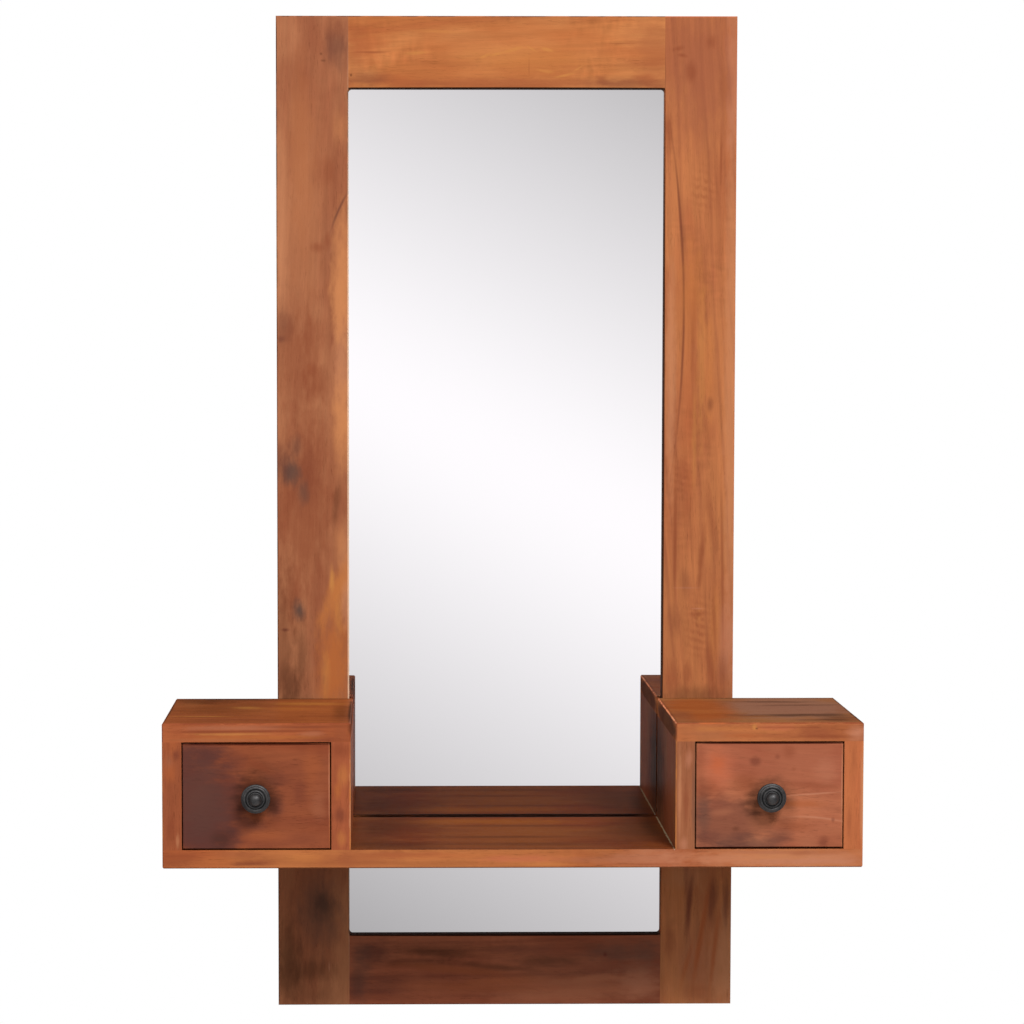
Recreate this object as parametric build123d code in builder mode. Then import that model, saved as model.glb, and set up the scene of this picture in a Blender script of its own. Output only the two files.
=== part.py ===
from build123d import *
import os

os.makedirs("parts", exist_ok=True)

# A wall mirror in a solid wood frame, with a shelf across its foot and a small box with a
# drawer standing on each end of the shelf.
#
# Millimetres. X runs to the right, Y into the wall and Z up. The wall is the plane Y = 0.
# The origin lies on the wall, midway between the two hanging holes.

# ---------------------------------------------------------------- mirror frame
frame_width = 415.0
frame_height = 900.0
frame_thickness = 18.0
stile_width = 65.0
rail_height = 65.0
opening_radius = 3.0  # inner corners of the frame, left by the router
edge_ease = 1.0  # chamfer that takes the sharpness off every exposed edge

# glass and backing, both let in from behind
glass_thickness = 4.0
glass_lap = 8.0  # glass rabbet, beyond the opening
glass_clearance = 1.0  # round the edge of the glass
backing_thickness = 4.0
backing_lap = 20.0  # backing rabbet, beyond the opening
backing_clearance = 1.0
backing_recess = 5.0  # the backing lies this far in from the back of the frame
rabbet_radius = 6.0  # corners of both rabbets

# mortise and tenon at each corner of the frame
tenon_length = 40.0
tenon_thickness = 6.0
tenon_shoulder = 12.0  # rail left bare at its outer edge
tenon_set_in = 4.0  # between the tenon and the backing rabbet
tenon_clearance = 0.1  # on each side of the tenon
tenon_end_gap = 1.0

# small pan-head screws that hold the backing
backing_screw_length = 10.0  # under the head
backing_screw_radius = 1.25
backing_screw_head = 2.5
backing_screw_head_height = 1.5
backing_screw_inset = 60.0  # from the corner of the opening to the first screw

# ---------------------------------------------------------------- hanging plates
hang_inset = 90.0  # top of the frame down to the hanging holes
hanger_width = 20.0
hanger_length = 50.0
hanger_thickness = 2.0
hanger_radius = 4.0
hanger_clearance = 0.1
keyhole_radius = 4.5  # the head of the wall screw goes in here
keyhole_slot_width = 4.4
keyhole_rise = 14.0  # hole up to the end of the slot
keyhole_pocket_depth = 9.0  # room in the wood for the head of the wall screw
keyhole_pocket_margin = 1.0
hanger_screw_length = 14.0
hanger_screw_radius = 1.75
hanger_screw_head = 3.4
hanger_screw_spacing = 40.0

# ---------------------------------------------------------------- shelf and boxes
shelf_length = 600.0
shelf_depth = 130.0
shelf_thickness = 16.0
shelf_rise = 158.0  # foot of the frame up to the underside of the shelf
box_width = 161.0
box_board = 16.5  # sides of the boxes
box_top_board = 16.0
drawer_opening_height = 93.0
box_back_thickness = 6.0
box_back_lap = 5.0  # rabbet that takes the back panel, in the sides and the top
box_back_clearance = 0.3

# dowels between the sides and the shelf
dowel_radius = 4.0
dowel_length = 30.0
dowel_in_shelf = 10.0  # the rest is in the side
dowel_end_gap = 1.0
dowel_inset = 28.0  # from the front and the back of the side

# tongue along the head of each side, in a groove in the box top
tongue_thickness = 6.0
tongue_height = 6.0
tongue_stop = 12.0  # side left bare at the front and the back
tongue_clearance = 0.1
tongue_end_gap = 0.5

# pan-head screws from the back of the frame into the shelf and the box tops
unit_screw_length = 38.0  # under the head
unit_screw_radius = 2.0
unit_screw_head = 4.0
unit_screw_head_height = 2.5  # as deep as the counterbore that takes it
unit_screw_clearance = 0.2  # the screw passes freely through the frame
shelf_screw_spacing = 20.0  # the pair in each stile
shelf_screw_offset = 10.0  # middle of the stile out to the middle of the pair
box_screw_rise = 9.0  # underside of the box top up to its screw

# ---------------------------------------------------------------- drawers
drawer_front_thickness = 16.0
drawer_front_lip = 6.0  # wood left in front of the ends of the drawer sides
drawer_side_gap = 1.2
drawer_top_gap = 1.5
drawer_foot_gap = 1.2
drawer_front_ease = 0.6
drawer_board = 10.0  # sides and back of the drawer
drawer_side_height = 80.0
drawer_bottom_thickness = 4.0
drawer_bottom_rise = 6.0  # the drawer's lower edge up to the bottom panel
drawer_groove = 4.0
drawer_groove_gap = 0.5

# headless panel pins, cut from flat wire
pin_width = 1.6
pin_thickness = 1.2
pin_length = 18.0
pin_inset = 18.0  # from the upper and lower edge of what it holds

# turned iron knob and its screw
knob_radius = 12.5
knob_base_radius = 9.0
knob_base_height = 2.0
knob_neck_radius = 5.0
knob_neck_height = 9.0  # face of the drawer up to the underside of the head
knob_rim_height = 1.2
knob_rim_ease = 1.2  # slope above and below the rim
knob_ring_radius = 9.6  # axis out to the crown of the ring round the face
knob_ring_width = 3.0  # at its foot
knob_ring_crown = 1.0  # at its top
knob_ring_height = 1.4
knob_shoulder_radius = 7.0
knob_shoulder_height = 2.4
knob_dome_radius = 5.5
knob_dome_height = 4.2
knob_bore_depth = 10.0
knob_screw_radius = 2.0
knob_screw_reach = 9.0  # length inside the knob
knob_screw_head = 3.6
knob_screw_head_height = 2.4
knob_hole_clearance = 0.2

# ---------------------------------------------------------------- sizes that follow
opening_width = frame_width - 2 * stile_width
opening_height = frame_height - 2 * rail_height
frame_top = hang_inset
frame_foot = frame_top - frame_height
frame_middle = frame_top - frame_height / 2
stile_middle = (frame_width - stile_width) / 2

backing_rabbet_depth = backing_recess + backing_thickness
glass_rabbet_depth = backing_rabbet_depth + glass_thickness

tenon_width = rail_height - tenon_shoulder - tenon_set_in - backing_lap
tenon_middle = (frame_height - tenon_width) / 2 - tenon_shoulder
tenon_back = (frame_thickness - tenon_thickness) / 2

unit_back = -frame_thickness
unit_front = unit_back - shelf_depth
shelf_foot = frame_foot + shelf_rise
shelf_top = shelf_foot + shelf_thickness
side_top = shelf_top + drawer_opening_height
box_top = side_top + box_top_board
box_middle = (shelf_length - box_width) / 2
box_inside = box_width - 2 * box_board
box_back_front = unit_back - box_back_thickness
side_middle = (box_width - box_board) / 2  # from the middle of the box
dowel_rows = (unit_back - dowel_inset, unit_front + dowel_inset)
tongue_front = unit_front + tongue_stop
tongue_back = unit_back - tongue_stop

drawer_width = box_inside - 2 * drawer_side_gap
drawer_inside = drawer_width - 2 * drawer_board
drawer_front_foot = shelf_top + drawer_foot_gap
drawer_front_top = side_top - drawer_top_gap
drawer_front_back = unit_front + drawer_front_thickness
drawer_side_front = unit_front + drawer_front_lip
drawer_bottom_foot = shelf_top + drawer_bottom_rise
drawer_bottom_top = drawer_bottom_foot + drawer_bottom_thickness
drawer_back_middle = box_back_front - drawer_board / 2
knob_height = (drawer_front_foot + drawer_front_top) / 2

# directions that a drill comes from
FROM_BACK = (0, 1, 0)
FROM_BELOW = (0, 0, -1)
HANDS = (("left", -1), ("right", 1))


# ---------------------------------------------------------------- helpers
def save(piece, name):
    """Labels a finished piece and writes its STEP file."""
    piece.part.label = name
    export_step(piece.part, f"parts/{name}.step")


def facing(normal, points):
    """Planes at the points that face along normal, against which holes are drilled."""
    return [Plane(origin=point, z_dir=normal) for point in points]


def block(low, high, mode=Mode.ADD):
    """Adds a rectangular block between two corners to the open part, or cuts it away."""
    size = [b - a for a, b in zip(low, high)]
    centre = tuple((a + b) / 2 for a, b in zip(low, high))
    with Locations(centre):
        Box(*size, mode=mode)


def cut_round_opening(reach, start, depth, radius, taper=0.0):
    """Cuts a rounded rectangle that reaches beyond the frame's opening, from the back."""
    with BuildSketch(Plane.XZ.offset(start)) as outline:
        with Locations((0, frame_middle)):
            RectangleRounded(opening_width + 2 * reach, opening_height + 2 * reach, radius)
    extrude(outline.sketch, amount=depth, taper=taper, mode=Mode.SUBTRACT)


def cut_opening_and_rabbets():
    """Cuts the eased opening and the rabbets for the glass and the backing."""
    cut_round_opening(0, 0, frame_thickness, opening_radius)
    cut_round_opening(glass_lap, 0, glass_rabbet_depth, rabbet_radius)
    cut_round_opening(backing_lap, 0, backing_rabbet_depth, rabbet_radius)
    cut_round_opening(0, frame_thickness - edge_ease, edge_ease, opening_radius, -45)


def countersunk_screw(shank_radius, head_radius, length):
    """A countersunk screw that points down, with the face of its head at Z = 0."""
    cone = head_radius - shank_radius
    with BuildPart(mode=Mode.PRIVATE) as screw:
        with BuildSketch(Plane.XZ) as half:
            with BuildLine():
                Polyline(
                    (0, 0),
                    (head_radius, 0),
                    (shank_radius, -cone),
                    (shank_radius, cone - length),
                    (0, -length),
                    close=True,
                )
            make_face()
        revolve(half.sketch, axis=Axis.Z)
    return screw.part


def pan_head_screw(shank_radius, head_radius, head_height, length):
    """A pan-head screw that points down, with the underside of its head at Z = 0."""
    with BuildPart(mode=Mode.PRIVATE) as screw:
        Cylinder(head_radius, head_height, align=(Align.CENTER, Align.CENTER, Align.MIN))
        Cylinder(shank_radius, length, align=(Align.CENTER, Align.CENTER, Align.MAX))
    return screw.part


def pin():
    """A headless panel pin that points down, with its upper end at Z = 0."""
    return Box(
        pin_width,
        pin_thickness,
        pin_length,
        align=(Align.CENTER, Align.CENTER, Align.MAX),
        mode=Mode.PRIVATE,
    )


def place(shape, planes, mode=Mode.ADD):
    """Adds a copy of the shape to the open part at each plane, or cuts it away."""
    with Locations(*planes):
        add(shape, mode=mode)


# ---------------------------------------------------------------- fastener places
backing_screw_reach = (glass_lap + backing_lap) / 2
screw_column = opening_width / 2 + backing_screw_reach
screw_row = opening_height / 2 + backing_screw_reach
column_spread = opening_height / 2 - backing_screw_inset
column_points = [
    (x, z) for x in (-screw_column, screw_column) for z in (-column_spread, 0, column_spread)
]
row_points = [(0, z) for z in (-screw_row, screw_row)]
backing_screw_planes = facing(
    FROM_BACK,
    [(x, -backing_recess, frame_middle + z) for x, z in column_points + row_points],
)

hanger_middle = keyhole_rise / 2
hanger_screw_planes = facing(
    FROM_BACK,
    [
        (sign * stile_middle, 0, hanger_middle + rise)
        for _, sign in HANDS
        for rise in (-hanger_screw_spacing / 2, hanger_screw_spacing / 2)
    ],
)

shelf_screw_middle = stile_middle + shelf_screw_offset
shelf_screw_columns = [
    sign * (shelf_screw_middle + offset)
    for _, sign in HANDS
    for offset in (-shelf_screw_spacing / 2, shelf_screw_spacing / 2)
]
shelf_screw_points = [
    (x, shelf_foot + shelf_thickness / 2) for x in shelf_screw_columns
]
box_screw_points = [
    (sign * shelf_screw_middle, side_top + box_screw_rise) for _, sign in HANDS
]
unit_screw_points = shelf_screw_points + box_screw_points
unit_screw_mouths = facing(FROM_BACK, [(x, 0, z) for x, z in unit_screw_points])
unit_screw_planes = facing(
    FROM_BACK, [(x, -unit_screw_head_height, z) for x, z in unit_screw_points]
)

side_columns = [
    hand * box_middle + edge * side_middle for _, hand in HANDS for _, edge in HANDS
]
dowel_points = [(x, y) for x in side_columns for y in dowel_rows]


def box_back_pin_planes(middle):
    """Places of the pins that hold the back panel of the box round this middle."""
    column = (box_inside + box_back_lap) / 2
    row = side_top + box_back_lap / 2
    points = [
        (middle + x, unit_back, z)
        for x in (-column, column)
        for z in (shelf_top + pin_inset, side_top - pin_inset)
    ]
    points += [(middle + x, unit_back, row) for x in (-box_inside / 4, box_inside / 4)]
    return facing(FROM_BACK, points)


def drawer_pin_planes(middle):
    """Places of the pins in the corners and under the back of a drawer."""
    front_row = (drawer_side_front + drawer_front_back) / 2
    low = drawer_bottom_top + pin_inset
    high = shelf_top + drawer_side_height - pin_inset
    planes = []
    for _, sign in HANDS:
        points = [
            (middle + sign * drawer_width / 2, y, z)
            for y in (front_row, drawer_back_middle)
            for z in (low, high)
        ]
        planes += facing((sign, 0, 0), points)
    under = [
        (middle + x, drawer_back_middle, drawer_bottom_foot)
        for x in (-drawer_inside / 4, drawer_inside / 4)
    ]
    return planes + facing(FROM_BELOW, under)


backing_screw = pan_head_screw(
    backing_screw_radius,
    backing_screw_head,
    backing_screw_head_height,
    backing_screw_length,
)
hanger_screw = countersunk_screw(
    hanger_screw_radius, hanger_screw_head, hanger_screw_length
)
unit_screw = pan_head_screw(
    unit_screw_radius, unit_screw_head, unit_screw_head_height, unit_screw_length
)

# ---------------------------------------------------------------- frame: stiles
for hand, sign in HANDS:
    with BuildPart() as stile:
        with BuildSketch(Plane.XZ):
            with Locations((sign * stile_middle, frame_middle)):
                Rectangle(stile_width, frame_height)
        extrude(amount=frame_thickness)
        outward = Axis((0, 0, 0), (sign, 0, 0))
        front_edges = stile.faces().sort_by(Axis.Y)[0].edges().sort_by(outward)
        chamfer(front_edges[1:], edge_ease)
        cut_opening_and_rabbets()

        # mortises, cut from the inner edge
        mortise_depth = tenon_length + tenon_end_gap
        with BuildSketch(Plane.XZ.offset(tenon_back - tenon_clearance)):
            for end in (-1, 1):
                x = sign * (opening_width + mortise_depth) / 2
                with Locations((x, frame_middle + end * tenon_middle)):
                    Rectangle(mortise_depth, tenon_width + 2 * tenon_clearance)
        extrude(amount=tenon_thickness + 2 * tenon_clearance, mode=Mode.SUBTRACT)

        # recess for the hanging plate, and behind it the pocket for the wall screw
        with BuildSketch(Plane.XZ):
            with Locations((sign * stile_middle, hanger_middle)):
                RectangleRounded(
                    hanger_width + 2 * hanger_clearance,
                    hanger_length + 2 * hanger_clearance,
                    hanger_radius + hanger_clearance,
                )
        extrude(amount=hanger_thickness, mode=Mode.SUBTRACT)
        with BuildSketch(Plane.XZ.offset(hanger_thickness)):
            with Locations((sign * stile_middle, hanger_middle)):
                pocket_width = 2 * (keyhole_radius + keyhole_pocket_margin)
                SlotCenterToCenter(keyhole_rise, pocket_width, rotation=90)
        extrude(amount=keyhole_pocket_depth, mode=Mode.SUBTRACT)

        place(hanger_screw, hanger_screw_planes, mode=Mode.SUBTRACT)
        place(backing_screw, backing_screw_planes, mode=Mode.SUBTRACT)
        with Locations(*unit_screw_mouths):
            CounterBoreHole(
                unit_screw_radius + unit_screw_clearance,
                unit_screw_head + unit_screw_clearance,
                unit_screw_head_height,
            )
    save(stile, f"{hand}_stile")

# ---------------------------------------------------------------- frame: rails
for name, end in (("top_rail", 1), ("bottom_rail", -1)):
    with BuildPart() as rail:
        # the rail reaches past its inner edge so that the opening can round its corners
        blank_height = rail_height + opening_radius
        blank_middle = (frame_height - blank_height) / 2
        with BuildSketch(Plane.XZ):
            with Locations((0, frame_middle + end * blank_middle)):
                Rectangle(opening_width, blank_height)
        extrude(amount=frame_thickness)
        outward = Axis((0, 0, 0), (0, 0, end))
        outer_edge = rail.faces().sort_by(Axis.Y)[0].edges().sort_by(outward)[-1]
        chamfer(outer_edge, edge_ease)
        cut_opening_and_rabbets()
        with BuildSketch(Plane.XZ.offset(tenon_back)):
            with Locations((0, frame_middle + end * tenon_middle)):
                Rectangle(opening_width + 2 * tenon_length, tenon_width)
        extrude(amount=tenon_thickness)
        place(backing_screw, backing_screw_planes, mode=Mode.SUBTRACT)
    save(rail, name)

# ---------------------------------------------------------------- glass and backing
with BuildPart() as mirror_glass:
    with BuildSketch(Plane.XZ.offset(backing_rabbet_depth)):
        with Locations((0, frame_middle)):
            glass_reach = glass_lap - glass_clearance
            RectangleRounded(
                opening_width + 2 * glass_reach,
                opening_height + 2 * glass_reach,
                rabbet_radius - glass_clearance,
            )
    extrude(amount=glass_thickness)
save(mirror_glass, "mirror_glass")

with BuildPart() as backing_panel:
    with BuildSketch(Plane.XZ.offset(backing_recess)):
        with Locations((0, frame_middle)):
            backing_reach = backing_lap - backing_clearance
            RectangleRounded(
                opening_width + 2 * backing_reach,
                opening_height + 2 * backing_reach,
                rabbet_radius - backing_clearance,
            )
    extrude(amount=backing_thickness)
    place(backing_screw, backing_screw_planes, mode=Mode.SUBTRACT)
save(backing_panel, "backing_panel")

with BuildPart() as backing_screws:
    place(backing_screw, backing_screw_planes)
save(backing_screws, "backing_screws")

# ---------------------------------------------------------------- hanging plates
for hand, sign in HANDS:
    with BuildPart() as hanger:
        with BuildSketch(Plane.XZ):
            with Locations((sign * stile_middle, hanger_middle)):
                RectangleRounded(hanger_width, hanger_length, hanger_radius)
                SlotCenterToCenter(
                    keyhole_rise, keyhole_slot_width, rotation=90, mode=Mode.SUBTRACT
                )
            with Locations((sign * stile_middle, 0)):
                Circle(keyhole_radius, mode=Mode.SUBTRACT)
        extrude(amount=hanger_thickness)
        place(hanger_screw, hanger_screw_planes, mode=Mode.SUBTRACT)
    save(hanger, f"{hand}_hanger_plate")

with BuildPart() as hanger_screws:
    place(hanger_screw, hanger_screw_planes)
save(hanger_screws, "hanger_screws")

# ---------------------------------------------------------------- shelf
with BuildPart() as shelf_board:
    block(
        (-shelf_length / 2, unit_front, shelf_foot),
        (shelf_length / 2, unit_back, shelf_top),
    )
    corners = shelf_board.edges().filter_by(Axis.Z).group_by(Axis.Y)[0]
    underside = shelf_board.faces().sort_by(Axis.Z)[0].edges().sort_by(Axis.Y)[:-1]
    chamfer(corners + underside, edge_ease)
    with Locations(*[(x, y, shelf_top) for x, y in dowel_points]):
        Hole(dowel_radius, dowel_in_shelf + dowel_end_gap)
    place(unit_screw, unit_screw_planes, mode=Mode.SUBTRACT)
save(shelf_board, "shelf_board")

# ---------------------------------------------------------------- drawer boxes
for hand, sign in HANDS:
    middle = sign * box_middle
    back_reach = box_inside / 2 + box_back_lap
    back_fit = box_back_clearance

    for edge_name, edge in (("outer", sign), ("inner", -sign)):
        with BuildPart() as side_board:
            side_x = middle + edge * side_middle
            block(
                (side_x - box_board / 2, unit_front, shelf_top),
                (side_x + box_board / 2, unit_back, side_top),
            )
            outward = Axis((0, 0, 0), (edge, 0, 0))
            front_corner = side_board.edges().filter_by(Axis.Z).group_by(Axis.Y)[0]
            chamfer(front_corner.sort_by(outward)[-1], edge_ease)
            block(
                (middle - back_reach, box_back_front, shelf_top),
                (middle + back_reach, unit_back, side_top),
                mode=Mode.SUBTRACT,
            )
            block(
                (side_x - tongue_thickness / 2, tongue_front, side_top),
                (side_x + tongue_thickness / 2, tongue_back, side_top + tongue_height),
            )
            foot_points = [(side_x, y, shelf_top) for y in dowel_rows]
            with Locations(*facing(FROM_BELOW, foot_points)):
                Hole(dowel_radius, dowel_length - dowel_in_shelf + dowel_end_gap)
            place(pin(), box_back_pin_planes(middle), mode=Mode.SUBTRACT)
        save(side_board, f"{hand}_box_{edge_name}_side")

    with BuildPart() as top_board:
        block(
            (middle - box_width / 2, unit_front, side_top),
            (middle + box_width / 2, unit_back, box_top),
        )
        corners = top_board.edges().filter_by(Axis.Z).group_by(Axis.Y)[0]
        upper_edges = top_board.faces().sort_by(Axis.Z)[-1].edges().sort_by(Axis.Y)
        chamfer(corners + upper_edges[:-1], edge_ease)
        block(
            (middle - back_reach, box_back_front, side_top),
            (middle + back_reach, unit_back, side_top + box_back_lap),
            mode=Mode.SUBTRACT,
        )
        groove_reach = tongue_thickness / 2 + tongue_clearance
        groove_head = side_top + tongue_height + tongue_end_gap
        for _, edge in HANDS:
            groove_x = middle + edge * side_middle
            block(
                (groove_x - groove_reach, tongue_front - tongue_end_gap, side_top),
                (groove_x + groove_reach, tongue_back + tongue_end_gap, groove_head),
                mode=Mode.SUBTRACT,
            )
        place(unit_screw, unit_screw_planes, mode=Mode.SUBTRACT)
        place(pin(), box_back_pin_planes(middle), mode=Mode.SUBTRACT)
    save(top_board, f"{hand}_box_top")

    with BuildPart() as box_back:
        block(
            (middle - back_reach + back_fit, box_back_front, shelf_top),
            (middle + back_reach - back_fit, unit_back, side_top + box_back_lap - back_fit),
        )
        place(pin(), box_back_pin_planes(middle), mode=Mode.SUBTRACT)
    save(box_back, f"{hand}_box_back")

    with BuildPart() as box_back_pins:
        place(pin(), box_back_pin_planes(middle))
    save(box_back_pins, f"{hand}_box_back_pins")

with BuildPart() as box_dowels:
    dowel_middle = shelf_top + dowel_length / 2 - dowel_in_shelf
    with Locations(*[(x, y, dowel_middle) for x, y in dowel_points]):
        Cylinder(dowel_radius, dowel_length)
save(box_dowels, "box_dowels")

with BuildPart() as unit_screws:
    place(unit_screw, unit_screw_planes)
save(unit_screws, "unit_screws")

# ---------------------------------------------------------------- drawers
for hand, sign in HANDS:
    middle = sign * box_middle
    side_head = shelf_top + drawer_side_height
    pins = drawer_pin_planes(middle)
    knob_hole = facing(FROM_BACK, [(middle, drawer_front_back, knob_height)])

    with BuildPart() as drawer_front:
        block(
            (middle - drawer_width / 2, unit_front, drawer_front_foot),
            (middle + drawer_width / 2, drawer_front_back, drawer_front_top),
        )
        face_edges = drawer_front.faces().sort_by(Axis.Y)[0].edges()
        chamfer(face_edges, drawer_front_ease)
        for _, edge in HANDS:
            ends = sorted((edge * drawer_inside / 2, edge * drawer_width / 2))
            block(
                (middle + ends[0], drawer_side_front, drawer_front_foot),
                (middle + ends[1], drawer_front_back, drawer_front_top),
                mode=Mode.SUBTRACT,
            )
        block(
            (middle - drawer_width / 2, drawer_front_back - drawer_groove, drawer_bottom_foot),
            (middle + drawer_width / 2, drawer_front_back, drawer_bottom_top),
            mode=Mode.SUBTRACT,
        )
        with Locations(*knob_hole):
            Hole(knob_screw_radius + knob_hole_clearance)
        place(pin(), pins, mode=Mode.SUBTRACT)
    save(drawer_front, f"{hand}_drawer_front")

    for edge_name, edge in HANDS:
        with BuildPart() as drawer_side:
            inner = edge * drawer_inside / 2
            ends = sorted((inner, edge * drawer_width / 2))
            block(
                (middle + ends[0], drawer_side_front, shelf_top),
                (middle + ends[1], box_back_front, side_head),
            )
            groove = sorted((inner, inner + edge * drawer_groove))
            block(
                (middle + groove[0], drawer_side_front, drawer_bottom_foot),
                (middle + groove[1], box_back_front, drawer_bottom_top),
                mode=Mode.SUBTRACT,
            )
            place(pin(), pins, mode=Mode.SUBTRACT)
        save(drawer_side, f"{hand}_drawer_{edge_name}_side")

    with BuildPart() as drawer_back:
        block(
            (middle - drawer_inside / 2, box_back_front - drawer_board, drawer_bottom_top),
            (middle + drawer_inside / 2, box_back_front, side_head),
        )
        place(pin(), pins, mode=Mode.SUBTRACT)
    save(drawer_back, f"{hand}_drawer_back")

    with BuildPart() as drawer_bottom:
        bottom_reach = drawer_inside / 2 + drawer_groove - drawer_groove_gap
        bottom_front = drawer_front_back - drawer_groove + drawer_groove_gap
        block(
            (middle - bottom_reach, bottom_front, drawer_bottom_foot),
            (middle + bottom_reach, box_back_front, drawer_bottom_top),
        )
        place(pin(), pins, mode=Mode.SUBTRACT)
    save(drawer_bottom, f"{hand}_drawer_bottom")

    with BuildPart() as drawer_pins:
        place(pin(), pins)
    save(drawer_pins, f"{hand}_drawer_pins")

    # knob, turned about an axis that stands out of the drawer face
    knob_foot = (middle, unit_front, knob_height)
    with BuildPart() as knob:
        with BuildSketch(Plane(origin=knob_foot, x_dir=(1, 0, 0), z_dir=(0, 0, -1))):
            with BuildLine():
                rim_radius = knob_radius - knob_rim_ease
                rim_foot = knob_neck_height + knob_rim_ease
                rim_top = rim_foot + knob_rim_height
                face = rim_top + knob_rim_ease
                crown = face + knob_ring_height
                shoulder = face + knob_shoulder_height
                dome_foot = (knob_dome_radius, shoulder)
                dome_curve = (knob_dome_radius**2 + knob_dome_height**2) / (2 * knob_dome_height)
                Polyline(
                    (0, 0),
                    (knob_base_radius, 0),
                    (knob_base_radius, knob_base_height),
                    (knob_neck_radius, knob_base_height),
                    (knob_neck_radius, knob_neck_height),
                    (rim_radius, knob_neck_height),
                    (knob_radius, rim_foot),
                    (knob_radius, rim_top),
                    (rim_radius, face),
                    (knob_ring_radius + knob_ring_width / 2, face),
                    (knob_ring_radius + knob_ring_crown / 2, crown),
                    (knob_ring_radius - knob_ring_crown / 2, crown),
                    (knob_ring_radius - knob_ring_width / 2, face),
                    (knob_shoulder_radius, face),
                    (knob_shoulder_radius, shoulder),
                    dome_foot,
                )
                RadiusArc(dome_foot, (0, shoulder + knob_dome_height), -dome_curve)
                Line((0, shoulder + knob_dome_height), (0, 0))
            make_face()
        revolve(axis=Axis(knob_foot, (0, -1, 0)))
        with Locations(*facing(FROM_BACK, [knob_foot])):
            Hole(knob_screw_radius, knob_bore_depth)
    save(knob, f"{hand}_knob")

    with BuildPart() as knob_screw:
        shank_length = drawer_front_thickness + knob_screw_reach
        with Locations(*knob_hole):
            Cylinder(
                knob_screw_radius,
                shank_length,
                align=(Align.CENTER, Align.CENTER, Align.MAX),
            )
            Cylinder(
                knob_screw_head,
                knob_screw_head_height,
                align=(Align.CENTER, Align.CENTER, Align.MIN),
            )
    save(knob_screw, f"{hand}_knob_screw")
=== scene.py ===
"""Dresses a wall mirror with a shelf and two drawers: wood, glass, iron knobs, screws, plates."""

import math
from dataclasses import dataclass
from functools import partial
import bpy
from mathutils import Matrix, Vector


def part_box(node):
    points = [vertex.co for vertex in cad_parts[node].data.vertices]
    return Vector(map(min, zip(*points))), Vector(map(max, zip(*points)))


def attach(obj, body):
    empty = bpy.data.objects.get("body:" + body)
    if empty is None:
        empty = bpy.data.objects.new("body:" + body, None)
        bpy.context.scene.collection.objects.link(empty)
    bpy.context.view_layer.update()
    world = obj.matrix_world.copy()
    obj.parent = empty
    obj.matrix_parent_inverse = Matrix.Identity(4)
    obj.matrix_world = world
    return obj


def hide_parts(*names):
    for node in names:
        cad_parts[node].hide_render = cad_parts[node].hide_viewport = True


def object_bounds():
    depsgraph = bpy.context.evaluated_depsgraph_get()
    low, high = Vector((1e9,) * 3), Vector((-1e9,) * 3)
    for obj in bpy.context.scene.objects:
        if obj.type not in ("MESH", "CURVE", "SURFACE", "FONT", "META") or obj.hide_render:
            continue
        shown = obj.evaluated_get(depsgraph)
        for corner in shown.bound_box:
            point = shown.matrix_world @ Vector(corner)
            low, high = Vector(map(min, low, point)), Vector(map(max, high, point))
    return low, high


bl_info = {
    "name": "Wall Mirror with Drawers",
    "version": (1, 0, 0),
    "blender": (4, 5, 0),
    "location": "3D View > Sidebar > Wall Mirror",
    "description": "Finishes the boards, glass, knobs and fittings of a wall mirror with drawers",
    "category": "Object",
}

import bmesh
import bpy
from bpy.props import FloatProperty, FloatVectorProperty, IntProperty, PointerProperty
from bpy.types import Operator, Panel, PropertyGroup
from mathutils import Vector

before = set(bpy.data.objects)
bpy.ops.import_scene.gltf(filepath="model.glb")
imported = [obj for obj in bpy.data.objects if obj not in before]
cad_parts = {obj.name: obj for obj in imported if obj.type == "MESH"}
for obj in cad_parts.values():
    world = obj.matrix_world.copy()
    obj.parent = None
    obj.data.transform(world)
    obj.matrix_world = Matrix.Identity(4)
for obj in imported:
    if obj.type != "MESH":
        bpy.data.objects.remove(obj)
cad_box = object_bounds()

MM = 0.001
HANDS = ("left", "right")

# faces of the shelf and the boxes that carry marks, in millimetres
UNIT_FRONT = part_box("shelf_board")[0].y / MM
UNIT_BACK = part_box("shelf_board")[1].y / MM
SHELF_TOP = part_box("shelf_board")[1].z / MM
SHELF_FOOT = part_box("shelf_board")[0].z / MM
BOX_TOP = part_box("left_box_top")[1].z / MM
BAY_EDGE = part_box("right_box_inner_side")[0].x / MM


def srgb(red, green, blue):
    """A colour written as 0 to 255 on a screen, as the linear colour that shaders work in."""
    shares = [value / 255 for value in (red, green, blue)]
    linear = [s / 12.92 if s <= 0.04045 else ((s + 0.055) / 1.055) ** 2.4 for s in shares]
    return (*linear, 1.0)


# ------------------------------------------------------------------ palette of the finishes
CHALK = srgb(255, 248, 236)
STRAW = srgb(200, 136, 74)
GOLD = srgb(212, 132, 50)
WHEAT = srgb(200, 134, 86)
HONEY = srgb(196, 124, 68)
AMBER = srgb(184, 108, 58)
TAN = srgb(174, 108, 70)
BLUSH = srgb(192, 128, 98)
FAWN = srgb(202, 140, 100)
SALMON = srgb(192, 108, 76)
CLAY = srgb(176, 110, 80)
DUSK = srgb(176, 116, 92)
RUST = srgb(196, 92, 38)
COPPER = srgb(176, 96, 56)
SIENNA = srgb(156, 86, 56)
CHESTNUT = srgb(158, 92, 66)
RUSSET = srgb(138, 70, 46)
CLARET = srgb(112, 56, 44)
PLUM = srgb(96, 56, 50)
OLIVE = srgb(112, 60, 24)
SMOKE = srgb(100, 74, 64)
UMBER = srgb(88, 50, 34)
COCOA = srgb(92, 46, 22)
BARK = srgb(50, 29, 21)
SHADE = srgb(58, 16, 10)
# pale tint of the painted highlight along the left edge of the opening
PAINTED_HIGHLIGHT = srgb(236, 206, 176)
CLEAR = srgb(255, 255, 255)


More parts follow.
